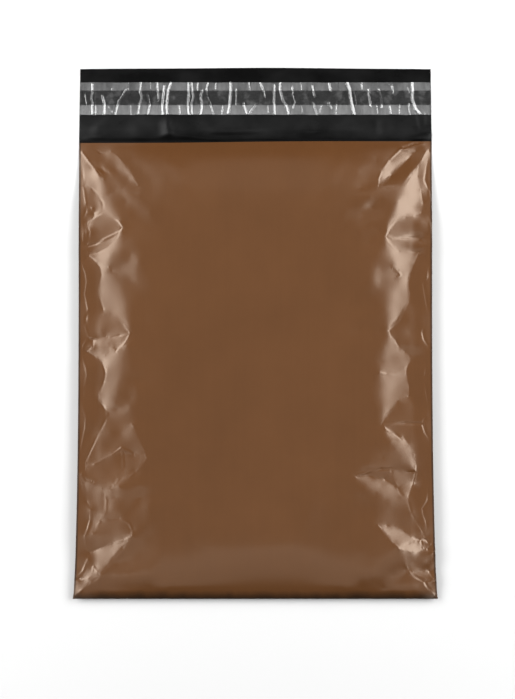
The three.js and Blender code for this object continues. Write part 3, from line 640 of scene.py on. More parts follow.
def ridge(x, y, x0, y0, x1, y1, width, height):
    """A long low swelling along a line, fading out at both ends."""
    dx, dy = x1 - x0, y1 - y0
    ln = math.hypot(dx, dy)
    u = ((x - x0) * dx + (y - y0) * dy) / ln ** 2
    d = ((x - x0) * dy - (y - y0) * dx) / ln
    return height * np.exp(-(d / width) ** 2) * smooth(u / 0.35) * smooth((1 - u) / 0.35)


def panel_swell(x, y):
    """Slack in the level part of the front panel: soft folds that fan down from
    the mouth's corners, and a slow unevenness."""
    z = 0.0
    for x0, y0, x1, y1, w, h in (
        (-92, 128, -52, 66, 6.0, 0.55), (-72, 132, -40, 92, 5.0, 0.35), (-56, 126, -34, 70, 7.0, 0.35),
        (94, 128, 50, 62, 6.0, 0.55), (70, 132, 42, 88, 5.0, 0.35), (60, 120, 34, 66, 7.0, 0.30),
        (-60, 96, -30, 40, 9.0, 0.30), (62, 92, 34, 30, 9.0, 0.30),
        (-50, -120, -20, -168, 9.0, 0.30), (46, -112, 12, -166, 9.0, 0.28),
    ):
        z = z + ridge(x, y, x0, y0, x1, y1, w, h)
    z = z + 0.10 * np.sin(x * 0.061 + 1.3) * np.sin(y * 0.037 + 0.4) + 0.05 * np.sin(x * 0.023 - y * 0.081)
    return z


# In the middle the bottom fold turns over slowly into the panel. Slopes at
# distances from the fold.
TURN_AT = (0, 5, 8, 11, 14, 17, 20, 24, 28, 32, 36, 40)
TURN_SLOPE = (0.55, 0.42, 0.335, 0.30, 0.278, 0.247, 0.19, 0.145, 0.12, 0.10, 0.05, 0.0)


def front_grid():
    x = column_x(half_width(y_rows))
    hw = half_width(y_rows)[:, None]
    z = front_base(np.repeat(y_rows[:, None], n_cols + 1, 1), np.minimum(hw + x, hw - x))
    left, right = finer(side_z[-1]), finer(side_z[1])
    # the level middle goes over from what one side is lifted by to the other
    rim = front_base(y_rows, s_side[-1] * np.ones(n_rows + 1))
    t = smooth(np.arange(1, N_MID) / N_MID)
    z[:, NF + 1:NF + N_MID] += (left[:, -1] - rim)[:, None] * (1 - t) + (right[:, -1] - rim)[:, None] * t
    z[:, :NF + 1] = left
    z[:, n_cols - NF:] = right[:, ::-1]
    run = y_rows - FOLD_Y
    s = np.interp(run, TURN_AT, TURN_SLOPE)
    turn = np.concatenate([[0], np.cumsum((s[1:] + s[:-1]) / 2 * np.diff(run))])
    k = int(np.searchsorted(run, TURN_AT[-1]))
    add = z[0] + turn[:, None] - z
    add[k:] = add[k] * (1 - smooth((run[k:, None] - run[k]) / 90))
    z = z + add * smooth((x + 62) / 70) * smooth((62 - x) / 34)
    y = y_rows[:, None] + (mouth_line(x) - MOUTH_Y) * smooth((y_rows[:, None] - (MOUTH_Y - 40)) / 40)
    d = np.minimum(half_width(y) + x, half_width(y) - x)
    calm = smooth((d - 50) / 22) * smooth((y - FOLD_Y - 16) / 26) * smooth((MOUTH_Y - y - 4) / 20)
    z = z + panel_swell(x, y) * calm
    # the lip of the mouth stands a little off the film under it
    z = z + 0.42 * smooth((y - MOUTH_Y + 20) / 20) * (1 - (np.abs(x) / HALF_W) ** 8)
    z[:, 0] = np.maximum(z[:, 0], 0.1)
    z[:, -1] = np.maximum(z[:, -1], 0.1)
    return x, y, z


X, Y, Z = front_grid()


def back_height(x, y):
    dl, dr = half_width(y) + x, half_width(y) - x
    zl, zr = np.interp(y, y_rows, Z[:, 0]), np.interp(y, y_rows, Z[:, -1])
    hang = np.maximum(zl * (1 - smooth(dl / BACK_LIFT)), zr * (1 - smooth(dr / BACK_LIFT)))
    hang = hang * smooth((MOUTH_Y - y) / 6)
    return np.maximum(np.maximum(fold_height(y), hang), 0.0)


# the front panel never sinks into the back one
_off = np.minimum(0.16, 0.16 * np.minimum(half_width(Y) + X, half_width(Y) - X) / 2.0)
Z = np.maximum(Z, back_height(X, Y) + np.maximum(_off, 0))


# The open flap comes out from under the lip of the mouth as a low roll. Distance
# of its crest from the mouth, at points across the bag.
ROLL_X = (-127, -105, -71, -61, -48, -38, -25, -8, 2, 10, 31, 67, 102, 127)
ROLL_C = (4.2, 4.6, 4.2, 6.6, 5.6, 3.4, 2.4, 2.8, 3.2, 2.6, 1.8, 1.8, 2.4, 2.2)


def fin(x, y, x0, y0, x1, y1, rise, height, drop):
    """A low fold in the film: a gentle rise towards a line, from its left, and
    a short fall after it."""
    dx, dy = x1 - x0, y1 - y0
    ln = math.hypot(dx, dy)
    u = ((x - x0) * dx + (y - y0) * dy) / ln ** 2
    d = ((x - x0) * dy - (y - y0) * dx) / ln
    prof = np.where(d < 0, np.clip(1 + d / rise, 0, 1) ** 1.3, np.clip(1 - d / drop, 0, 1))
    return height * prof * smooth(u / 0.25) * smooth((1 - u) / 0.25)


def flap_rise(x, y):
    """How far the open flap stands off the surface it lies on."""
    run = y - mouth_line(x)
    c = np.interp(x, ROLL_X, ROLL_C)
    c = (c + np.interp(x - 4, ROLL_X, ROLL_C) + np.interp(x + 4, ROLL_X, ROLL_C)) / 3
    side = 1 - (np.abs(x) / HALF_W) ** 10
    z = (0.25 + 0.40 * c) * smooth(run / c) * (1 - clamp01((run - c) / 21)) ** 2 * side
    # a second, wider roll left of the middle, over the first
    win = smooth((x + 54) / 36) * (1 - smooth((x + 10) / 36))
    z = z + 2.7 * win * smooth((run - 3.4) / 4.6) * (1 - clamp01((run - 8.0) / 17)) ** 2
    win = smooth((x - 8) / 12) * (1 - smooth((x - 62) / 18))
    z = z + 0.7 * win * smooth((run - 5.6) / 3.0) * (1 - clamp01((run - 8.0) / 13)) ** 2
    # folds and soft bands
    z = z + fin(x, y, -60.5, 139, -64.5, 155, 8.0, 1.5, 2.6) + fin(x, y, 87, 139, 86, 155, 13.0, 0.6, 5.0)
    z = z + ridge(x, y, -120, 140, -98, 157, 4.5, 0.85) + ridge(x, y, -90, 139, -72, 156, 6.0, 0.8)
    z = z + ridge(x, y, -44, 156, -20, 140, 6.0, 0.9) + ridge(x, y, 40, 139, 34, 156, 7.0, 0.9)
    z = z + ridge(x, y, 113, 162, 117.5, 143, 1.5, 0.42) + ridge(x, y, 121, 160, 121.5, 146, 1.2, 0.36)
    z = z + ridge(x, y, 108, 136, 132, 143, 2.6, 0.9) + ridge(x, y, -126, 138.5, -104, 139.5, 1.2, 0.35)
    z = z + 0.10 * np.sin(x * 0.085 + 0.6) * smooth(run / 8) * (1 - smooth((run - 22) / 8))
    # the free edge lifts a little
    t = (y - MOUTH_Y) / (FLAP_Y - MOUTH_Y)
    z = z + 0.45 * smooth((t - 0.86) / 0.14) * (0.8 + 0.2 * np.sin(x * 0.03 + 1.0))
    return z * smooth(run / 1.5)


def flap_top(x, y):
    return flap_rise(x, y) + FILM_T


# ---------------------------------------------------------------------------
# Meshes
# ---------------------------------------------------------------------------
class Builder:
    def __init__(self):
        self.co, self.faces, self.mats, self.n = [], [], [], 0

    def add(self, pts):
        pts = np.asarray(pts, float).reshape(-1, 3)
        ids = np.arange(self.n, self.n + len(pts))
        self.co.append(pts)
        self.n += len(pts)
        return ids

    def grid(self, x, y, z):
        return self.add(np.stack([x, y, z], -1)).reshape(x.shape)

    def quads(self, ids, mat, flip=False):
        a, b, c, d = ids[:-1, :-1], ids[:-1, 1:], ids[1:, 1:], ids[1:, :-1]
        q = np.stack([a, b, c, d], -1).reshape(-1, 4)
        self.face_list(q[:, ::-1] if flip else q, mat)

    def tris(self, ids, mat, flip=False):
        """As quads, but split along one diagonal, so that two faces of a thin
        sheet stay the same distance apart everywhere."""
        a, b, c, d = (v.ravel() for v in (ids[:-1, :-1], ids[:-1, 1:], ids[1:, 1:], ids[1:, :-1]))
        one, two = np.stack([a, b, c], -1), np.stack([a, c, d], -1)
        k = (ids.shape[0] - 2) * (ids.shape[1] - 1)   # the corner where that diagonal would join two rims
        one[k], two[k] = (a[k], b[k], d[k]), (b[k], c[k], d[k])
        t = np.concatenate([one, two])
        self.face_list(t[:, ::-1] if flip else t, mat)

    def face_list(self, q, mat):
        for f in np.asarray(q).tolist():
            g = []
            for v in f:
                if v not in g:
                    g.append(v)
            if len(g) > 2:
                self.faces.append(g)
                self.mats.append(mat)

    def mesh(self, name):
        co = np.concatenate(self.co) * 0.001
        me = bpy.data.meshes.new(name)
        me.from_pydata(co.tolist(), [], self.faces)
        me.polygons.foreach_set("material_index", np.array(self.mats, np.int32))
        me.polygons.foreach_set("use_smooth", np.ones(len(self.faces), bool))
        me.update()
        return me


def mark_sharp(me, chains):
    pairs = set()
    for c in chains:
        c = [int(i) for i in c]
        for p, q in zip(c[:-1], c[1:]):
            pairs.add((min(p, q), max(p, q)))
    ev = np.zeros(len(me.edges) * 2, np.int32)
    me.edges.foreach_get("vertices", ev)
    ev = np.sort(ev.reshape(-1, 2), 1)
    flag = np.array([(int(a), int(c)) in pairs for a, c in ev], bool)
    at = me.attributes.get("sharp_edge") or me.attributes.new("sharp_edge", "BOOLEAN", "EDGE")
    at.data.foreach_set("value", flag)


def new_object(name, me):
    ob = bpy.data.objects.new(name, me)
    bpy.context.scene.collection.objects.link(ob)
    return ob


BROWN, BLACK, WELD_AND_SHADE = 0, 1, 2
WELD_SHADE_BAND = 4                      # lattice steps along each side in the weld material: fused film, its darker colour painted shade
POCKET_ROWS = (0, 10, 20, 30, 38)  # lattice rows in from the mouth
WELD_COLS = 2                      # steps of weld at each side of the mouth
FLAP_T = np.concatenate([np.linspace(0, 11, 15), np.linspace(14, 46, 9), [48.5, 50.5, 52.3, 54.0]]) / 54.0
FINE_BLOCKS = 8400                 # blocks of the solved grid that are split again


def bend():
    """How much the slope turns within one lattice step, at every point."""
    k = np.zeros_like(Z)
    hx, hy = HS / 2, HY / 2
    k[:, 1:-1] += np.abs(Z[:, 2:] - 2 * Z[:, 1:-1] + Z[:, :-2]) / hx
    k[1:-1] += np.abs(Z[2:] - 2 * Z[1:-1] + Z[:-2]) / hy
    k[1:, 1:] += np.abs(Z[1:, 1:] - Z[1:, :-1] - Z[:-1, 1:] + Z[:-1, :-1]) / hx
    return k


def largest(v, n):
    """Largest of v in every block of n by n steps, its edges included."""
    r, c = (v.shape[0] - 1) // n, (v.shape[1] - 1) // n
    out = np.zeros((r, c))
    for i in range(n + 1):
        for j in range(n + 1):
            out = np.maximum(out, v[i:i + n * (r - 1) + 1:n, j:j + n * (c - 1) + 1:n])
    return out


def front_faces(b):
    """The front panel: blocks of 4 by 4 lattice steps, split in the creased
    sides down to single steps, and long blocks over the level middle. A block
    with more points on its edges than its corners is a fan about its middle."""
    k = bend()
    used = np.zeros(Z.shape, bool)
    blocks = {1: [], 2: [], 4: []}
    sides = [(0, k[:, :NF + 1]), (n_cols - NF, k[:, n_cols - NF:])]
    two = [largest(v, 2) for _, v in sides]
    for t in two:
        t[-2:] = 0       # the mouth and the fold keep whole blocks
        t[:2] = 0
    cut = max(0.012, np.sort(np.concatenate([t.ravel() for t in two]))[-FINE_BLOCKS])
    for (c0, v), t in zip(sides, two):
        fine = t >= cut
        mid = t >= cut * 0.33
        four = mid.reshape(n_rows // 4, 2, NF // 4, 2).any((1, 3))
        r, c = np.nonzero(~four)
        blocks[4].append(np.column_stack([4 * r, c0 + 4 * c]))
        inside = np.repeat(np.repeat(four, 2, 0), 2, 1)
        r, c = np.nonzero(inside & ~fine)
        blocks[2].append(np.column_stack([2 * r, c0 + 2 * c]))
        r, c = np.nonzero(inside & fine)
        for i in (0, 1):
            for j in (0, 1):
                blocks[1].append(np.column_stack([2 * r + i, c0 + 2 * c + j]))
    long_ = np.array([(r, c) for r in range(0, n_rows, 8) for c in range(NF, n_cols - NF)])
    shapes = [(np.concatenate(blocks[n]), n, n) for n in (1, 2, 4)] + [(long_, 8, 1)]
    for q, h, w in shapes:
        for i, j in ((0, 0), (0, w), (h, 0), (h, w)):
            used[q[:, 0] + i, q[:, 1] + j] = True
    ids = np.full(Z.shape, -1)
    ids[used] = b.add(np.stack([X[used], Y[used], Z[used]], -1))
    for q, h, w in shapes:
        r, c = q[:, 0], q[:, 1]
        # blocks along each side take the weld material, whose darker colour is painted shade
        weld_and_shade = np.where((c + w <= WELD_SHADE_BAND) | (c >= n_cols - WELD_SHADE_BAND), WELD_AND_SHADE, BROWN)
        extra = np.zeros(len(q), bool)
        for i in range(1, h):
            extra |= used[r + i, c] | used[r + i, c + w]
        for j in range(1, w):
            extra |= used[r, c + j] | used[r + h, c + j]
        quad = np.stack([ids[r, c], ids[r, c + w], ids[r + h, c + w], ids[r + h, c]], -1)
        for m in (BROWN, WELD_AND_SHADE):
            b.face_list(quad[~extra & (weld_and_shade == m)], m)
        for r0, c0, m in zip(r[extra].tolist(), c[extra].tolist(), weld_and_shade[extra].tolist()):
            ring = [(r0, c0 + j) for j in range(w)] + [(r0 + i, c0 + w) for i in range(h)]
            ring += [(r0 + h, c0 + w - j) for j in range(w)] + [(r0 + h - i, c0) for i in range(h)]
            ring = [ids[v] for v in ring if ids[v] >= 0]
            if w > 1:
                rc, cc = r0 + h // 2, c0 + w // 2
                pt = (X[rc, cc], Y[rc, cc], Z[rc, cc])
            else:
                rc = r0 + h // 2
                pt = [(v[rc, c0] + v[rc, c0 + 1]) / 2 for v in (X, Y, Z)]
            hub = int(b.add([pt])[0])
            for p, q2 in zip(ring, ring[1:] + ring[:1]):
                b.faces.append([hub, int(p), int(q2)])
                b.mats.append(m)
    return ids


def make_bag():
    b = Builder()
    F = front_faces(b)
    mc = np.nonzero(F[-1] >= 0)[0]          # columns of the mouth
    left, right = F[F[:, 0] >= 0, 0], F[F[:, -1] >= 0, -1]
    lip, foot = F[-1, mc], F[0, F[0] >= 0]
    # flap: black inner face up, brown outer face down, one film thick
    ft = FLAP_T[:, None]
    xm, ym = X[-1, mc], Y[-1, mc]
    xf = xm + np.sign(xm) * (HALF_W - 0.15 - half_width(MOUTH_Y)) * ft
    yf = ym + (flap_line(xf) - ym) * ft
    zr = flap_rise(xf, yf)
    T = b.grid(xf, yf, zr + FILM_T)
    U = T.copy()
    U[:-1, 1:-1] = b.grid(xf[:-1, 1:-1], yf[:-1, 1:-1], zr[:-1, 1:-1])
    for col in (0, -1):
        T[0, col] = U[0, col] = lip[col]
    b.tris(T, BLACK)
    b.tris(U, BROWN, flip=True)
    # mouth: welded for a few columns at each side, and between them the front
    # film's cut edge with the slit behind it, which closes on the filling
    n = len(mc) - 1
    lo, hi = WELD_COLS, n - WELD_COLS
    b.quads(np.stack([lip[:lo + 1], T[0, :lo + 1]]), BROWN)
    b.quads(np.stack([lip[hi:], T[0, hi:]]), BROWN)
    ceil, floor_ = [], [T[0, lo:hi + 1]]
    for k, r in enumerate(POCKET_ROWS):
        j = n_rows - r
        at = mc[lo:hi + 1]
        x, y = X[j, at], Y[j, at]
        zf = Z[max(0, j - 12):j + 13, at].min(0)   # clear of every row beside it
        if k:
            floor_.append(b.add(np.stack([x, y, np.minimum(np.full_like(x, FILM_T + 0.01), zf - 0.09)], -1)))
        if r == POCKET_ROWS[-1]:
            row = floor_[-1]
        else:
            row = np.empty(len(x), int)
            row[0], row[-1] = floor_[k][0], floor_[k][-1]
            row[1:-1] = b.add(np.stack([x, y, zf - FILM_T], -1)[1:-1])
        ceil.append(row)
    b.quads(np.stack([lip[lo:hi + 1], ceil[0]]), BROWN)
    b.quads(np.stack(ceil), BLACK)
    b.quads(np.stack(floor_), BLACK, flip=True)
    # back panel: its border is the front's and the flap's, coarser inside
    ring = np.concatenate([foot, right[1:], U[0, -2::-1], left[-2:0:-1]])
    allco = np.concatenate(b.co)
    pts2 = [Vector((float(allco[i, 0]), float(allco[i, 1]))) for i in ring]
    extra = []
    for yy in np.arange(FOLD_Y + 4, MOUTH_Y - 3, 6.0):
        hw = float(half_width(yy))
        for frac in np.linspace(-1, 1, 43)[1:-1]:
            extra.append((frac * (hw - 2.0), float(yy)))
    nr = len(ring)
    out = delaunay_2d_cdt(pts2 + [Vector(e) for e in extra], [(i, (i + 1) % nr) for i in range(nr)], [], 1, 1e-5)
    verts, tris, orig = out[0], out[2], out[3]
    idmap = np.full(len(verts), -1)
    new = []
    for k, o in enumerate(orig):
        r = [i for i in o if i < nr]
        if r:
            idmap[k] = ring[r[0]]
        else:
            new.append(k)
    nc = np.array([[verts[k].x, verts[k].y] for k in new])
    idmap[new] = b.add(np.column_stack([nc, back_height(nc[:, 0], nc[:, 1])]))
    tri = np.array([[idmap[i] for i in t] for t in tris if len(t) == 3])
    b.face_list(tri[:, ::-1], BROWN)
    me = b.mesh("bag_film_skin")
    mark_sharp(me, [left, right, lip, T[0], T[-1], T[:, 0], T[:, -1], foot, ceil[0]])
    bm = bmesh.new()
    bm.from_mesh(me)
    bmesh.ops.recalc_face_normals(bm, faces=bm.faces)
    bmesh.ops.delete(bm, geom=[v for v in bm.verts if not v.link_faces], context="VERTS")
    bm.to_mesh(me)
    bm.free()
    return me


def make_slab(name, x, y, z_top, z_low):
    """A thin closed sheet from a grid of points, its top and its underside."""
    b = Builder()
    A = b.grid(x, y, z_top)
    B = b.grid(x, y, z_low)
    b.tris(A, 0)
    b.tris(B, 0, flip=True)
    rims = []
    for a, c in ((A[0], B[0]), (A[-1, ::-1], B[-1, ::-1]), (A[::-1, 0], B[::-1, 0]), (A[:, -1], B[:, -1])):
        b.quads(np.stack([c, a]), 0)
        rims += [a, c]
    me = b.mesh(name)
    mark_sharp(me, rims)
    return me


bag_mesh = make_bag()
bag = new_object("bag_film_skin", bag_mesh)

rng = np.random.default_rng(7)


def wavy(x, waves, lo, hi):
    """A sum of sines of wavelength lo to hi, about 1 high."""
    z = np.zeros_like(x)
    for k in range(waves):
        z = z + np.sin(2 * np.pi * x / rng.uniform(lo, hi) + rng.uniform(0, 6.28))
    return z / math.sqrt(waves)


# adhesive: a line of hot melt with slightly uneven edges and an uneven top
ax = np.linspace(-HALF_W + 0.6, HALF_W - 0.6, 255)
av = np.linspace(0, 1, 13)
edge_a = BAND_Y0 + 0.16 * wavy(ax, 7, 3, 26)
edge_b = BAND_Y1 + 0.16 * wavy(ax, 7, 3, 26)
AY = edge_a + (edge_b - edge_a) * av[:, None]
AX = np.repeat(ax[None], len(av), 0)
mott = 0.018 * np.sin(AX * 0.7 + 2 * np.sin(AY * 0.9)) * np.sin(AY * 1.1 + 1.7 * np.sin(AX * 0.23)) + 0.01 * wavy(ax, 9, 1.6, 7)
edge_fall = np.minimum(1, np.minimum(av, 1 - av)[:, None] / 0.12) ** 0.5
adhesive_mesh = make_slab("adhesive_line", AX, AY, flap_top(AX, AY) + 0.02 + (0.08 + mott) * edge_fall, flap_top(AX, AY) + 0.005)
adhesive = new_object("adhesive_line", adhesive_mesh)

# liner: thin clear film with tunnels standing up across it
lv = np.linspace(0, 1, 37)
FALL = 0.34                        # run of the short fall behind a tunnel's lit flank
LIT = (0.85, 0.7, 0.55, 0.4)       # run of the lit flank, of the tunnel's width: the first there is room for
lit_run = {}


def tunnel_turn(k):
    return 1.0 if (k * 7) % 5 < 3 else -1.0


def liner_columns():
    """x of the liner's columns at every row. They follow the tunnels that run
    up the liner, wherever these leave each other room."""
    rows = LINER_Y0 + (LINER_Y1 - LINER_Y0) * lv
    found = []
    for k, (wide, path) in enumerate(WRINKLES):
        p = np.array(path)[::-1]
        tall = p[-1, 1] - p[0, 1]
        if np.any(np.diff(p[:, 1]) <= 0) or abs(p[-1, 0] - p[0, 0]) > 0.6 * tall:
            continue
        found.append((tall, k, np.interp(rows, p[:, 1], p[:, 0]), wide))
    found.sort(key=lambda g: (-g[0], g[1]))
    kept = []
    for tall, k, x, wide in found:
        lit_run[k] = 0.0 if tall > 9 else wide * 0.88
        if abs(x).max() > HALF_W - 2.5:
            continue
        for lit in LIT:
            run = wide * lit
            inner = [0.22, run - 0.24] if run > 0.6 else []
            offs = np.array([-0.14, 0.07] + inner + [run - 0.09, run + 0.05, run + FALL - 0.05, run + FALL + 0.14]) - wide * 0.30
            offs = np.sort(tunnel_turn(k) * offs)
            apart = [np.min(x + offs[0] - h[0] - h[1][-1]) if x.mean() > h[0].mean()
                     else np.min(h[0] + h[1][0] - x - offs[-1]) for h in kept]
            if all(v > 0.12 for v in apart):
                kept.append((x, offs))
                lit_run[k] = run
                break
    kept.sort(key=lambda g: g[0].mean())
    ends = np.full(len(rows), HALF_W - 0.3)
    cols = [-ends]
    for x, offs in kept + [(ends, np.zeros(1))]:
        a, c = cols[-1], x + offs[0]
        n = max(1, int(math.ceil(np.mean(c - a) / 0.34)))
        cols += [a + (c - a) * i / n for i in range(1, n)]
        cols += [x + o for o in offs]
    return np.stack(cols, 1)


LX = liner_columns()
lx = LX.mean(0)
low_e = LINER_Y0 + 0.10 * wavy(lx, 6, 5, 40)
top_e = LINER_Y1 + 0.10 * wavy(lx, 6, 5, 40)
LY = low_e + (top_e - low_e) * lv[:, None]
ripple = 0.02 * wavy(lx, 14, 1.6, 6) + 0.02 * np.sin(LX * 0.9 + 3 * np.sin(LY * 0.35)) * np.sin(LY * 0.6 + LX * 0.12)
in_band = smooth((LY - BAND_Y0 + 0.6) / 1.2) * smooth((BAND_Y1 + 0.6 - LY) / 1.2)
tunnel = np.zeros_like(LX)
for k, (wide, path) in enumerate(WRINKLES):
    # a lit flank, and a short fall behind it
    path = np.array(path)
    best = np.full(LX.shape, 1e9)
    off = np.zeros_like(LX)
    for p, q in zip(path[:-1], path[1:]):
        dd = q - p
        u = clamp01(((LX - p[0]) * dd[0] + (LY - p[1]) * dd[1]) / (dd @ dd))
        ex, ey = LX - p[0] - u * dd[0], LY - p[1] - u * dd[1]
        dist = np.hypot(ex, ey)
        m = dist < best
        best = np.where(m, dist, best)
        off = np.where(m, dist * np.where(ex >= 0, 1.0, -1.0), off)
    e = off * tunnel_turn(k) + wide * 0.30
    run = lit_run.get(k, wide * 0.88)
    if run == 0:
        continue
    # narrow tunnels are flatter, and all are where the liner sticks
    weak = min(1.0, max(0.0, (1.8 - wide) / 0.8))
    steep = 0.485 + 0.00087 * LX * tunnel_turn(k) - 0.15 * weak - (0.14 + 0.04 * weak) * in_band
    tunnel = np.maximum(tunnel, steep * run * np.where(e < run, np.clip(e / run, 0, 1), np.clip(1 - (e - run) / FALL, 0, 1)))
lz = flap_top(LX, LY) + 0.25 + ripple * (1 - 0.3 * in_band) + tunnel
lz = np.maximum(lz, flap_top(LX, LY) + 0.19)
liner_mesh = make_slab("release_liner_film", LX, LY, lz, lz - 0.05)
liner = new_object("release_liner_film", liner_mesh)


# ---------------------------------------------------------------------------
# Materials
# ---------------------------------------------------------------------------
def new_material(name):
    m = bpy.data.materials.new(name)
    m.use_nodes = True
    nt = m.node_tree
    return m, nt, nt.nodes["Principled BSDF"]


def node(nt, kind, **inputs):
    n = nt.nodes.new(kind)
    for k, v in inputs.items():
        n.inputs[k].default_value = v
    return n


def place(nt, scale):
    """The piece's own coordinates in metres, scaled."""
    tc = nt.nodes.new("ShaderNodeTexCoord")
    mp = nt.nodes.new("ShaderNodeMapping")
    mp.inputs["Scale"].default_value = scale
    nt.links.new(tc.outputs["Object"], mp.inputs["Vector"])
    return mp.outputs["Vector"]


def noise(nt, scale, size, detail=3.0, rough=0.55):
    n = node(nt, "ShaderNodeTexNoise", Scale=size, Detail=detail, Roughness=rough)
    nt.links.new(place(nt, scale), n.inputs["Vector"])
    return n.outputs["Fac"]


def ramp(nt, fac, stops):
    r = nt.nodes.new("ShaderNodeValToRGB")
    el = r.color_ramp.elements
    while len(el) < len(stops):
        el.new(0.5)
    for e, (p, c) in zip(el, stops):
        e.position = p
        e.color = c
    nt.links.new(fac, r.inputs["Fac"])
    return r.outputs["Color"]


def math_node(nt, op, a, b):
    n = nt.nodes.new("ShaderNodeMath")
    n.operation = op
    for i, v in enumerate((a, b)):
        if isinstance(v, (int, float)):
            n.inputs[i].default_value = v
        else:
            nt.links.new(v, n.inputs[i])
    return n.outputs["Value"]


def grey(v):
    return (v, v, v, 1)


def spread(nt, fac, lo, hi, a=0.3, b=0.7):
    n = nt.nodes.new("ShaderNodeMapRange")
    n.inputs["From Min"].default_value = a
    n.inputs["From Max"].default_value = b
    n.inputs["To Min"].default_value = lo
    n.inputs["To Max"].default_value = hi
    nt.links.new(fac, n.inputs["Value"])
    return n.outputs["Result"]


def mix_color(nt, fac, a, b, blend="MIX"):
    n = nt.nodes.new("ShaderNodeMix")
    n.data_type = "RGBA"
    n.blend_type = blend
    for key, v in (("Factor_Float", fac), ("A_Color", a), ("B_Color", b)):
        sock = [s for s in n.inputs if s.identifier == key][0]
        if isinstance(v, (int, float, tuple)):
            sock.default_value = v
        else:
            nt.links.new(v, sock)
    return [s for s in n.outputs if s.identifier == "Result_Color"][0]


def bump(nt, bsdf, height, strength, distance):
    n = node(nt, "ShaderNodeBump", Strength=strength, Distance=distance)
    nt.links.new(height, n.inputs["Height"])
    nt.links.new(n.outputs["Normal"], bsdf.inputs["Normal"])


def along(nt):
    """Distance along the bag, in metres."""
    sep = nt.nodes.new("ShaderNodeSeparateXYZ")
    nt.links.new(place(nt, (1, 1, 1)), sep.inputs["Vector"])
    return sep.outputs["Y"]


def film_brown():
    m, nt, p = new_material("mailer_film_brown")
    # die lines along the bag, a cloudy pigment and a fine grain
    lines = noise(nt, (1.0, 0.012, 1.0), 420.0, 2.0)
    cloud = noise(nt, (1, 1, 1), 26.0, 5.0)
    grain = noise(nt, (1, 1, 1), 1400.0, 2.0)
    tone = math_node(nt, "ADD", math_node(nt, "MULTIPLY", lines, 0.22), math_node(nt, "MULTIPLY", cloud, 0.78))
    col = ramp(nt, tone, [(0.30, (0.0545, 0.0208, 0.0060, 1)), (0.70, (0.0622, 0.0240, 0.0071, 1))])
    # painted shade: a dark line along the bottom fold, where the film turns under towards the floor, its edge wobbled
    # by noise
    fold_shade_wobble = math_node(nt, "MULTIPLY", math_node(nt, "SUBTRACT", noise(nt, (1, 0.3, 0.3), 90.0, 3.0), 0.5), 0.004)
    fold_shade = spread(nt, math_node(nt, "ADD", along(nt), fold_shade_wobble), 0.92, 0.0, FOLD_Y * 0.001 + 0.0006, FOLD_Y * 0.001 + 0.0056)
    col = mix_color(nt, fold_shade, col, (0.0060, 0.0026, 0.0011, 1))
    nt.links.new(col, p.inputs["Base Color"])
    rough = math_node(nt, "ADD", math_node(nt, "MULTIPLY", cloud, 0.75), math_node(nt, "MULTIPLY", lines, 0.25))
    nt.links.new(spread(nt, rough, 0.205, 0.228), p.inputs["Roughness"])
    p.inputs["Specular IOR Level"].default_value = 0.64
    p.inputs["Specular Tint"].default_value = (1.0, 0.83, 0.68, 1)
    bump(nt, p, math_node(nt, "ADD", math_node(nt, "MULTIPLY", lines, 0.4), math_node(nt, "MULTIPLY", grain, 0.35)), 0.08, 0.00010)
    return m


def weld_film_and_shade():
    # two films fused by heat, ribbed across; the darker colour is painted shade beside the welds
    m, nt, p = new_material("mailer_weld_film_and_shade")
    ribs = noise(nt, (0.15, 1.0, 1.0), 900.0, 2.0)
    cloud = noise(nt, (1, 1, 1), 60.0, 4.0)
    col = ramp(nt, cloud, [(0.30, (0.0200, 0.0080, 0.0027, 1)), (0.70, (0.0280, 0.0112, 0.0038, 1))])
    nt.links.new(col, p.inputs["Base Color"])
    nt.links.new(spread(nt, cloud, 0.30, 0.38), p.inputs["Roughness"])
    p.inputs["Specular IOR Level"].default_value = 0.3
    p.inputs["Specular Tint"].default_value = (1.0, 0.83, 0.68, 1)
    bump(nt, p, ribs, 0.25, 0.00012)
    return m


def film_black():
    m, nt, p = new_material("mailer_film_black")
    lines = noise(nt, (1.0, 0.012, 1.0), 420.0, 2.0)
    cloud = noise(nt, (1, 1, 1), 34.0, 4.0)
    # painted sheen: a lighter base colour from just past the mouth up to the liner
    flap_sheen = math_node(nt, "MULTIPLY", spread(nt, along(nt), 1.0, 0.0, 0.148, 0.180), spread(nt, along(nt), 0.0, 1.0, 0.1385, 0.1450))
    plain_tone = ramp(nt, cloud, [(0.3, grey(0.0004)), (0.7, grey(0.0010))])
    sheen_tone = ramp(nt, cloud, [(0.3, grey(0.0016)), (0.7, grey(0.0064))])
    nt.links.new(mix_color(nt, flap_sheen, plain_tone, sheen_tone), p.inputs["Base Color"])
    # rubbed zones are duller
    worn = noise(nt, (1.0, 1.5, 1.0), 30.0, 3.0, 0.5)
    nt.links.new(spread(nt, worn, 0.22, 0.46, 0.35, 0.65), p.inputs["Roughness"])
    p.inputs["Specular IOR Level"].default_value = 0.105
    bump(nt, p, lines, 0.06, 0.00010)
    return m


def adhesive_mat():
    m, nt, p = new_material("hot_melt_adhesive")
    blot = noise(nt, (1, 1.4, 1), 240.0, 4.0, 0.6)
    fine = noise(nt, (1, 1, 1), 900.0, 3.0)
    col = ramp(nt, blot, [(0.34, grey(0.006)), (0.52, grey(0.016)), (0.70, grey(0.036))])
    nt.links.new(col, p.inputs["Base Color"])
    nt.links.new(spread(nt, blot, 0.12, 0.42), p.inputs["Roughness"])
    p.inputs["Specular IOR Level"].default_value = 0.5
    bump(nt, p, math_node(nt, "ADD", blot, math_node(nt, "MULTIPLY", fine, 0.4)), 0.35, 0.0002)
    return m


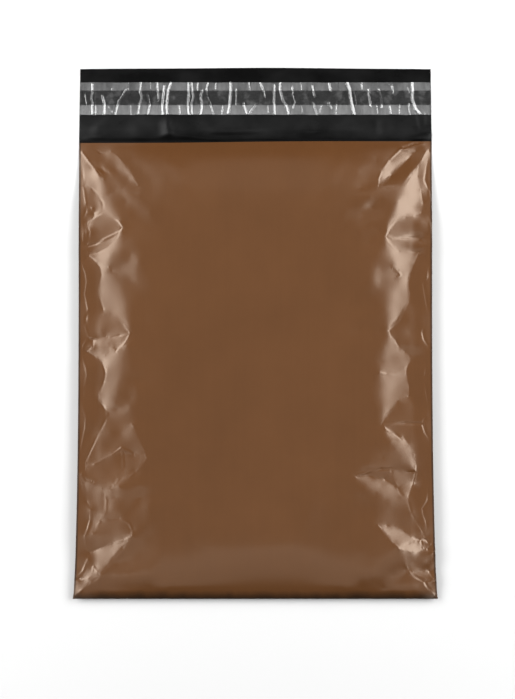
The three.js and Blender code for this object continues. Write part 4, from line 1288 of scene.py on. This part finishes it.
def liner_mat():
    m, nt, p = new_material("clear_liner_film")
    tc = nt.nodes.new("ShaderNodeTexCoord")
    sep = nt.nodes.new("ShaderNodeSeparateXYZ")
    nt.links.new(tc.outputs["Object"], sep.inputs["Vector"])
    # where the film touches the adhesive its haze is gone
    edge = noise(nt, (1, 1, 1), 420.0, 3.0)
    off = math_node(nt, "ABSOLUTE", math_node(nt, "SUBTRACT", sep.outputs["Y"], (BAND_Y0 + BAND_Y1) * 0.0005), 0.0)
    off = math_node(nt, "ADD", off, math_node(nt, "MULTIPLY", math_node(nt, "SUBTRACT", edge, 0.5), 0.0011))
    half = (BAND_Y1 - BAND_Y0) * 0.0005
    dry = spread(nt, off, 0.0, 1.0, half - 0.00025, half + 0.00025)
    haze = noise(nt, (1.0, 0.10, 1.0), 700.0, 4.0, 0.6)
    drift = noise(nt, (1.0, 0.35, 1.0), 120.0, 3.0, 0.6)
    blot = noise(nt, (1, 0.8, 1), 190.0, 4.0, 0.62)
    veil = math_node(nt, "ADD", math_node(nt, "MULTIPLY", haze, 0.35), math_node(nt, "MULTIPLY", drift, 0.65))
    far = math_node(nt, "MULTIPLY", math_node(nt, "SUBTRACT", sep.outputs["Y"], 0.168), 7.0)
    pale = ramp(nt, math_node(nt, "SUBTRACT", veil, far), [(0.32, grey(0.045)), (0.68, grey(0.150))])
    cells = noise(nt, (1, 0.8, 1), 120.0, 4.0, 0.62)
    wet = ramp(nt, cells, [(0.40, grey(0.0008)), (0.53, grey(0.004)), (0.64, grey(0.036))])
    nt.links.new(mix_color(nt, dry, wet, pale), p.inputs["Base Color"])
    nt.links.new(spread(nt, blot, 0.10, 0.22), p.inputs["Roughness"])
    p.inputs["IOR"].default_value = 1.66
    p.inputs["Specular IOR Level"].default_value = 0.9
    p.inputs["Alpha"].default_value = 0.6
    bump(nt, p, haze, 0.25, 0.00015)
    return m


brown, black = film_brown(), film_black()
bag_mesh.materials.append(brown)
bag_mesh.materials.append(black)
bag_mesh.materials.append(weld_film_and_shade())
adhesive_mesh.materials.append(adhesive_mat())
liner_mesh.materials.append(liner_mat())

for piece, cad, slot in ((bag, "bag_film", "film_brown"), (adhesive, "adhesive_strip", "adhesive"), (liner, "release_liner", "liner_clear")):
    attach(piece, "root")
    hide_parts(cad)

# ---------------------------------------------------------------------------
# Stage: floor, lights, camera
# ---------------------------------------------------------------------------
floor_me = bpy.data.meshes.new("floor")
FS = 6.0
floor_me.from_pydata([(-FS, -FS, -0.0002), (FS, -FS, -0.0002), (FS, FS, -0.0002), (-FS, FS, -0.0002)], [], [(0, 1, 2, 3)])
floor = new_object("floor", floor_me)
fm, fnt, fp = new_material("floor_pale")
fp.inputs["Base Color"].default_value = (0.41, 0.41, 0.41, 1)
fp.inputs["Roughness"].default_value = 0.9
fp.inputs["Specular IOR Level"].default_value = 0.1
floor_me.materials.append(fm)


def softbox(name, place_, aim, size_x, size_y, power, color=(1, 1, 1)):
    la = bpy.data.lights.new(name, "AREA")
    la.shape = "RECTANGLE"
    la.size, la.size_y = size_x, size_y
    la.energy = power
    la.color = color
    ob = bpy.data.objects.new(name, la)
    bpy.context.scene.collection.objects.link(ob)
    ob.location = place_
    d = Vector(aim) - Vector(place_)
    ob.rotation_euler = d.to_track_quat("-Z", "Y").to_euler()
    ob.visible_camera = False
    return ob


BOX_Y = 0.35
for side, word in ((-1, "left"), (1, "right")):
    for kind, r0, psi, tall, long_, watts in (("core", 1.05, 51, 0.54, 1.6, 20.6), ("wide", 1.12, 54, 1.14, 1.8, 12.8), ("halo", 1.25, 25, 0.42, 1.6, 0.8)):
        a = math.radians(psi)
        softbox("softbox_%s_%s" % (word, kind), (side * r0 * math.sin(a), BOX_Y, r0 * math.cos(a)), (0, BOX_Y, 0), long_, tall, watts)
softbox("overhead", (0, 0.12, 1.32), (0, 0.12, 0), 0.40, 0.95, 0.16)
softbox("overhead_wide", (0, 0.12, 1.40), (0, 0.12, 0), 0.95, 1.25, 0.68)
softbox("fill_flap_end", (0, 0.80, 1.05), (0, 0.0, 0), 1.3, 0.55, 1.10)
softbox("fill_fold_end", (0, -0.52, 1.08), (0, -0.16, 0), 1.3, 0.56, 1.70)

world = bpy.data.worlds.new("studio")
bpy.context.scene.world = world
world.use_nodes = True
bg = world.node_tree.nodes["Background"]
bg.inputs["Color"].default_value = (1, 1, 1, 1)
bg.inputs["Strength"].default_value = 0.12

cam_data = bpy.data.cameras.new("camera")
cam = bpy.data.objects.new("camera", cam_data)
bpy.context.scene.collection.objects.link(cam)
TH = math.radians(7.5)
DIST = 1.28505
tgt = Vector((0.0015, -0.01471, 0.0))
cam.location = tgt + DIST * Vector((0, -math.sin(TH), math.cos(TH)))
cam.rotation_euler = (TH, 0, 0)
cam_data.sensor_fit = "VERTICAL"
cam_data.sensor_height = 24.0
cam_data.lens = 1810.92 * 24.0 / 699.0
cam_data.clip_start = 0.05
cam_data.clip_end = 50
cam_data.dof.use_dof = False
bpy.context.scene.camera = cam
bpy.context.scene.view_settings.view_transform = "Standard"
bpy.context.scene.view_settings.look = "None"
